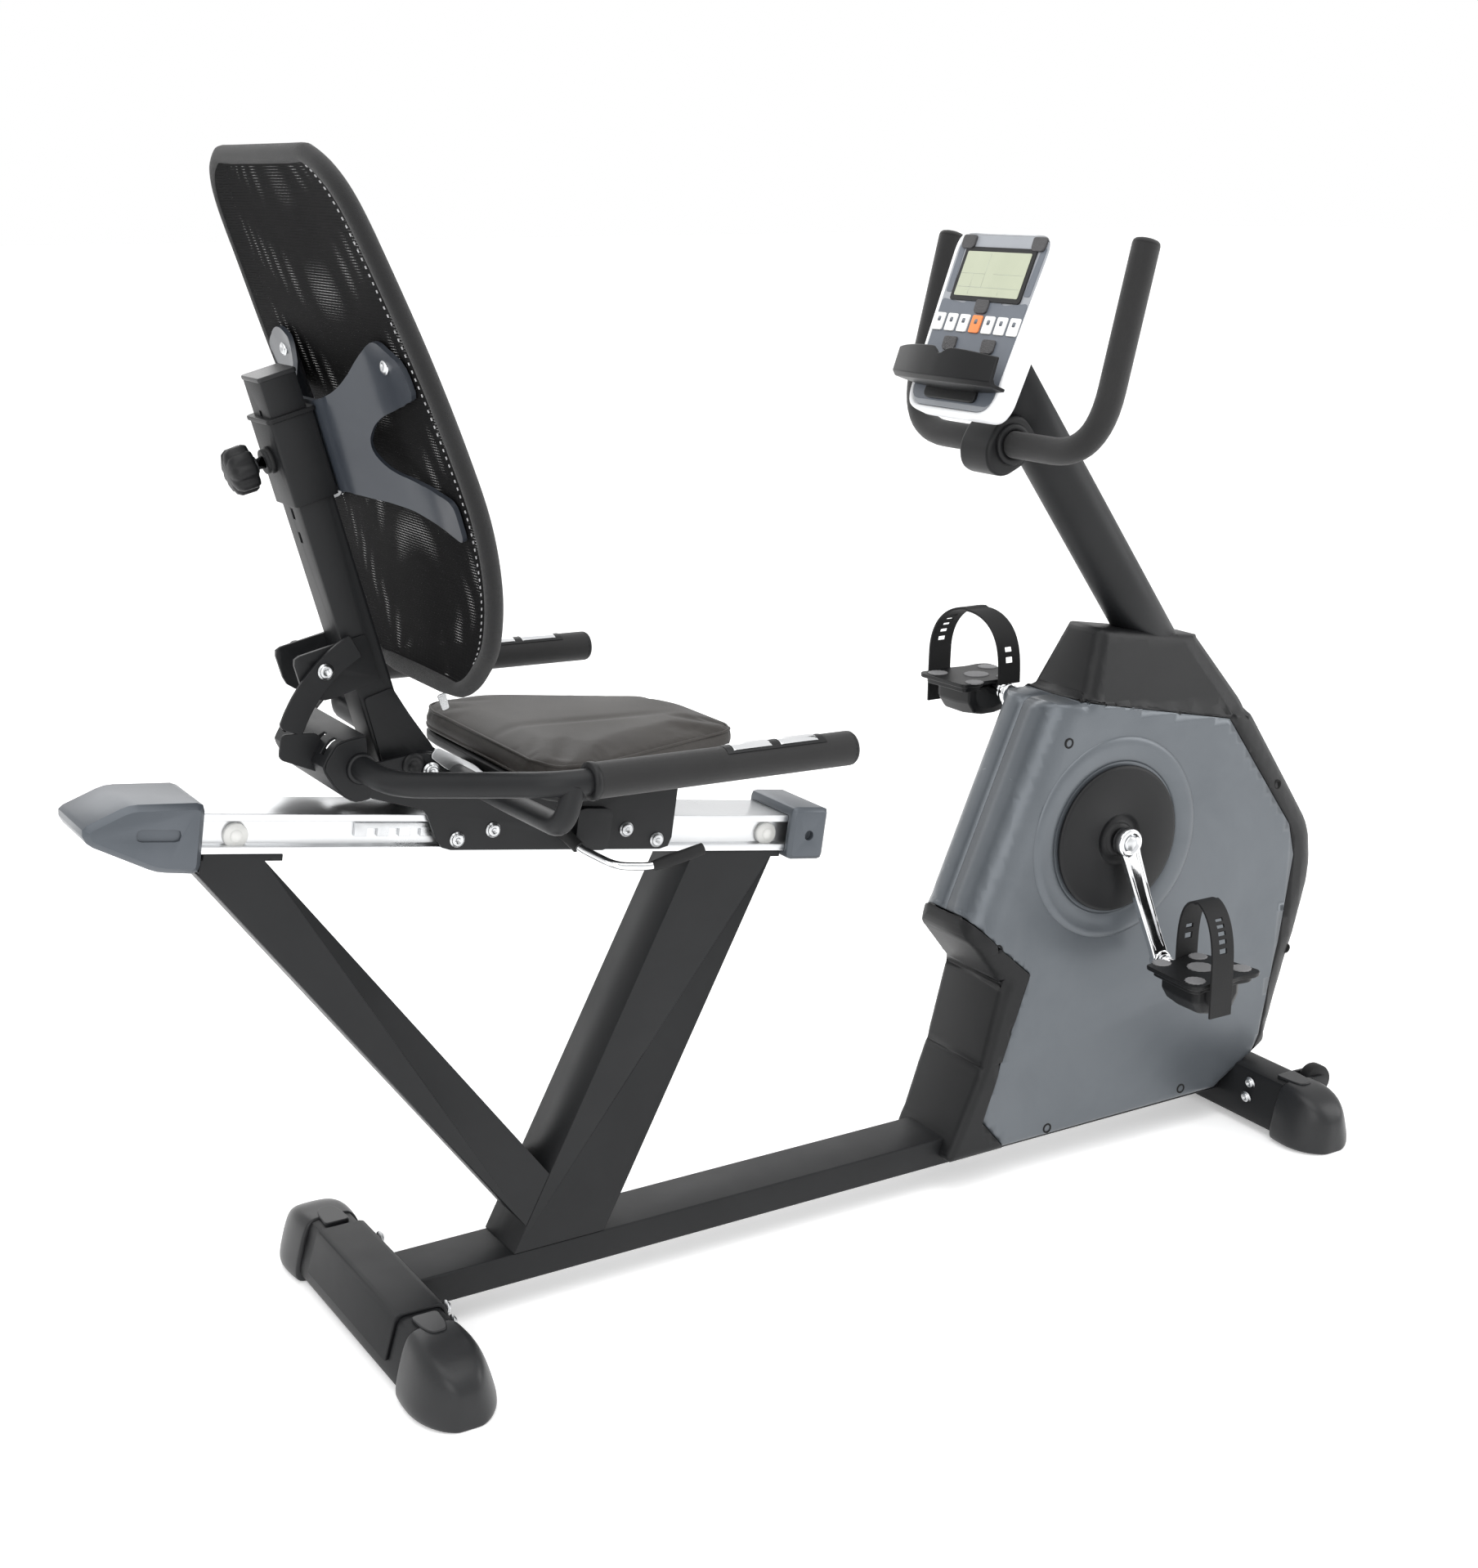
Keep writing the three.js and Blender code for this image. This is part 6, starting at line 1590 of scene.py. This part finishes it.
# %% Feet and wheels
def boot(name, centre, y, end, slot_name):
    rings = []
    start = 150.6
    length = end - start
    for share in (0, 0.02, 0.12, 0.3, 0.5, 0.68, 0.82, 0.92, 0.98, 1.0):
        round_off = math.sqrt(max(0.0, 1 - max(0, (share - 0.25) / 0.75) ** 2.4))
        wide = 45.5 * (0.22 + 0.78 * round_off) * (0.97 if share == 0 else 1) + 4 * math.sin(math.pi * share)
        high = 80 * (0.42 + 0.58 * math.sqrt(max(0.0, 1 - max(0, (share - 0.1) / 0.9) ** 2.2)))
        out = y * (start + length * share)
        section = [
            (-1, 0.0), (-1.04, 0.16), (-0.98, 0.34), (-0.86, 0.62), (-0.72, 0.86), (-0.56, 0.97),
            (-0.3, 1.0), (0.3, 1.0), (0.56, 0.97), (0.72, 0.86), (0.86, 0.62), (0.98, 0.34),
            (1.04, 0.16), (1, 0.0), (0.5, 0), (-0.5, 0),
        ]
        rings.append([floor(centre + a * wide, out, h * high) for a, h in section])
    body = subdivided(blended(name, rings))
    settle(body, "frame", cap_grey, [slot_name])


for label, centre, end in (("rear", 0, 248), ("front", 1288, 229)):
    for name, y in SIDES:
        boot(f"{label}_boot_{name}", centre, y, end, f"{label}_foot_cap_{name}")
        tab = rounded([(-16, 128), (-14, 158), (-9, 172), (9, 172), (14, 158), (16, 128)], 7, 4)
        settle(
            plate(
                f"{label}_boot_tab_{name}", floor, [(centre + p.x, y * p.y) for p in tab], 76, 81.4,
                "XY", 1.6,
            ),
            "frame", cap_grey,
        )
for name, y in SIDES:
    profile = [
        (5.4, -10.5), (16, -10.5), (18, -9.6), (20.5, -9.8), (22, -7), (22.2, 0), (22, 7), (20.5, 9.8),
        (18, 9.6), (16, 10.5), (5.4, 10.5),
    ]
    wheel = turned(f"wheel_{name}", floor, (1344, y * 130, 60), "Y", profile, 48)
    settle(wheel, f"transport_wheel_{name}", rubber_black, [f"transport_wheel_{name}"])

# %% [markdown]
# Bolts hold the feet, the carriage, the hinge and the bracket together, and pale bumpers stop the seat at
# each end of its travel.

# %% Bolts and bumpers
CARRIAGE_BOLTS = [(95, 586.6), (138, 591), (303, 566), (342, 547.5)]
carriage_spots = [(floor, (x, y * 47, z), "Y", 7, 4.5, y) for _, y in SIDES for x, z in CARRIAGE_BOLTS]
bolts("carriage_bolts", "carriage", carriage_spots)
bolts("hinge_bolts", "carriage", [(floor, (66.7, y * 51, 668.2), "Y", 8, 5, y) for _, y in SIDES])
bolts("recline_bolt", "back_post", [(back, (PIN_X, -38.4, PIN_Z), "Y", 7, 4.5, -1)])
bolts(
    "bracket_bolts", "backrest",
    [(floor, (x, y * 140, z), "X", 6.5, 4, -1) for x, z in ((-2, 1103), (55, 950)) for _, y in SIDES],
)
foot_spots = []
for y in (-97, 97):
    foot_spots += [
        (axes_at(38, 62, 17), (0, y, 0), "X", 7, 5, 1), (axes_at(45, 42, 17), (0, y, 0), "X", 7, 5, 1),
    ]
    foot_spots += [
        (axes_at(1256, 62, -17), (0, y, 0), "X", 7, 5, -1),
        (axes_at(1250, 42, -17), (0, y, 0), "X", 7, 5, -1),
    ]
bolts("foot_bolts", "frame", foot_spots)
bumpers = []
for x, z in ((-145, 624.7), (499, 526.3)):
    for _, y in SIDES:
        profile = [(0.01, 8), (6, 8), (6.6, 6.5), (7, 6), (12.5, 5.6), (13.5, 4), (13.5, 0)]
        bumpers.append(turned(f"bumper_{x}_{y}", floor, (x, y * 28, z), "Y", profile, 32, out=y))
bumper_white = finish_of("bumper_white", (0.55, 0.55, 0.53), (0.64, 0.64, 0.62), (0.35, 0.5), 700, 0.1)
print(len(bumpers), "bumpers and", len(carriage_spots) + len(foot_spots), "large bolts")
settle(joined("seat_bumpers", bumpers), "frame", bumper_white)

# %% [markdown]
# The bounds of the finished model are measured last.

# %% Measure the finished model's bounds
low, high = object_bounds()
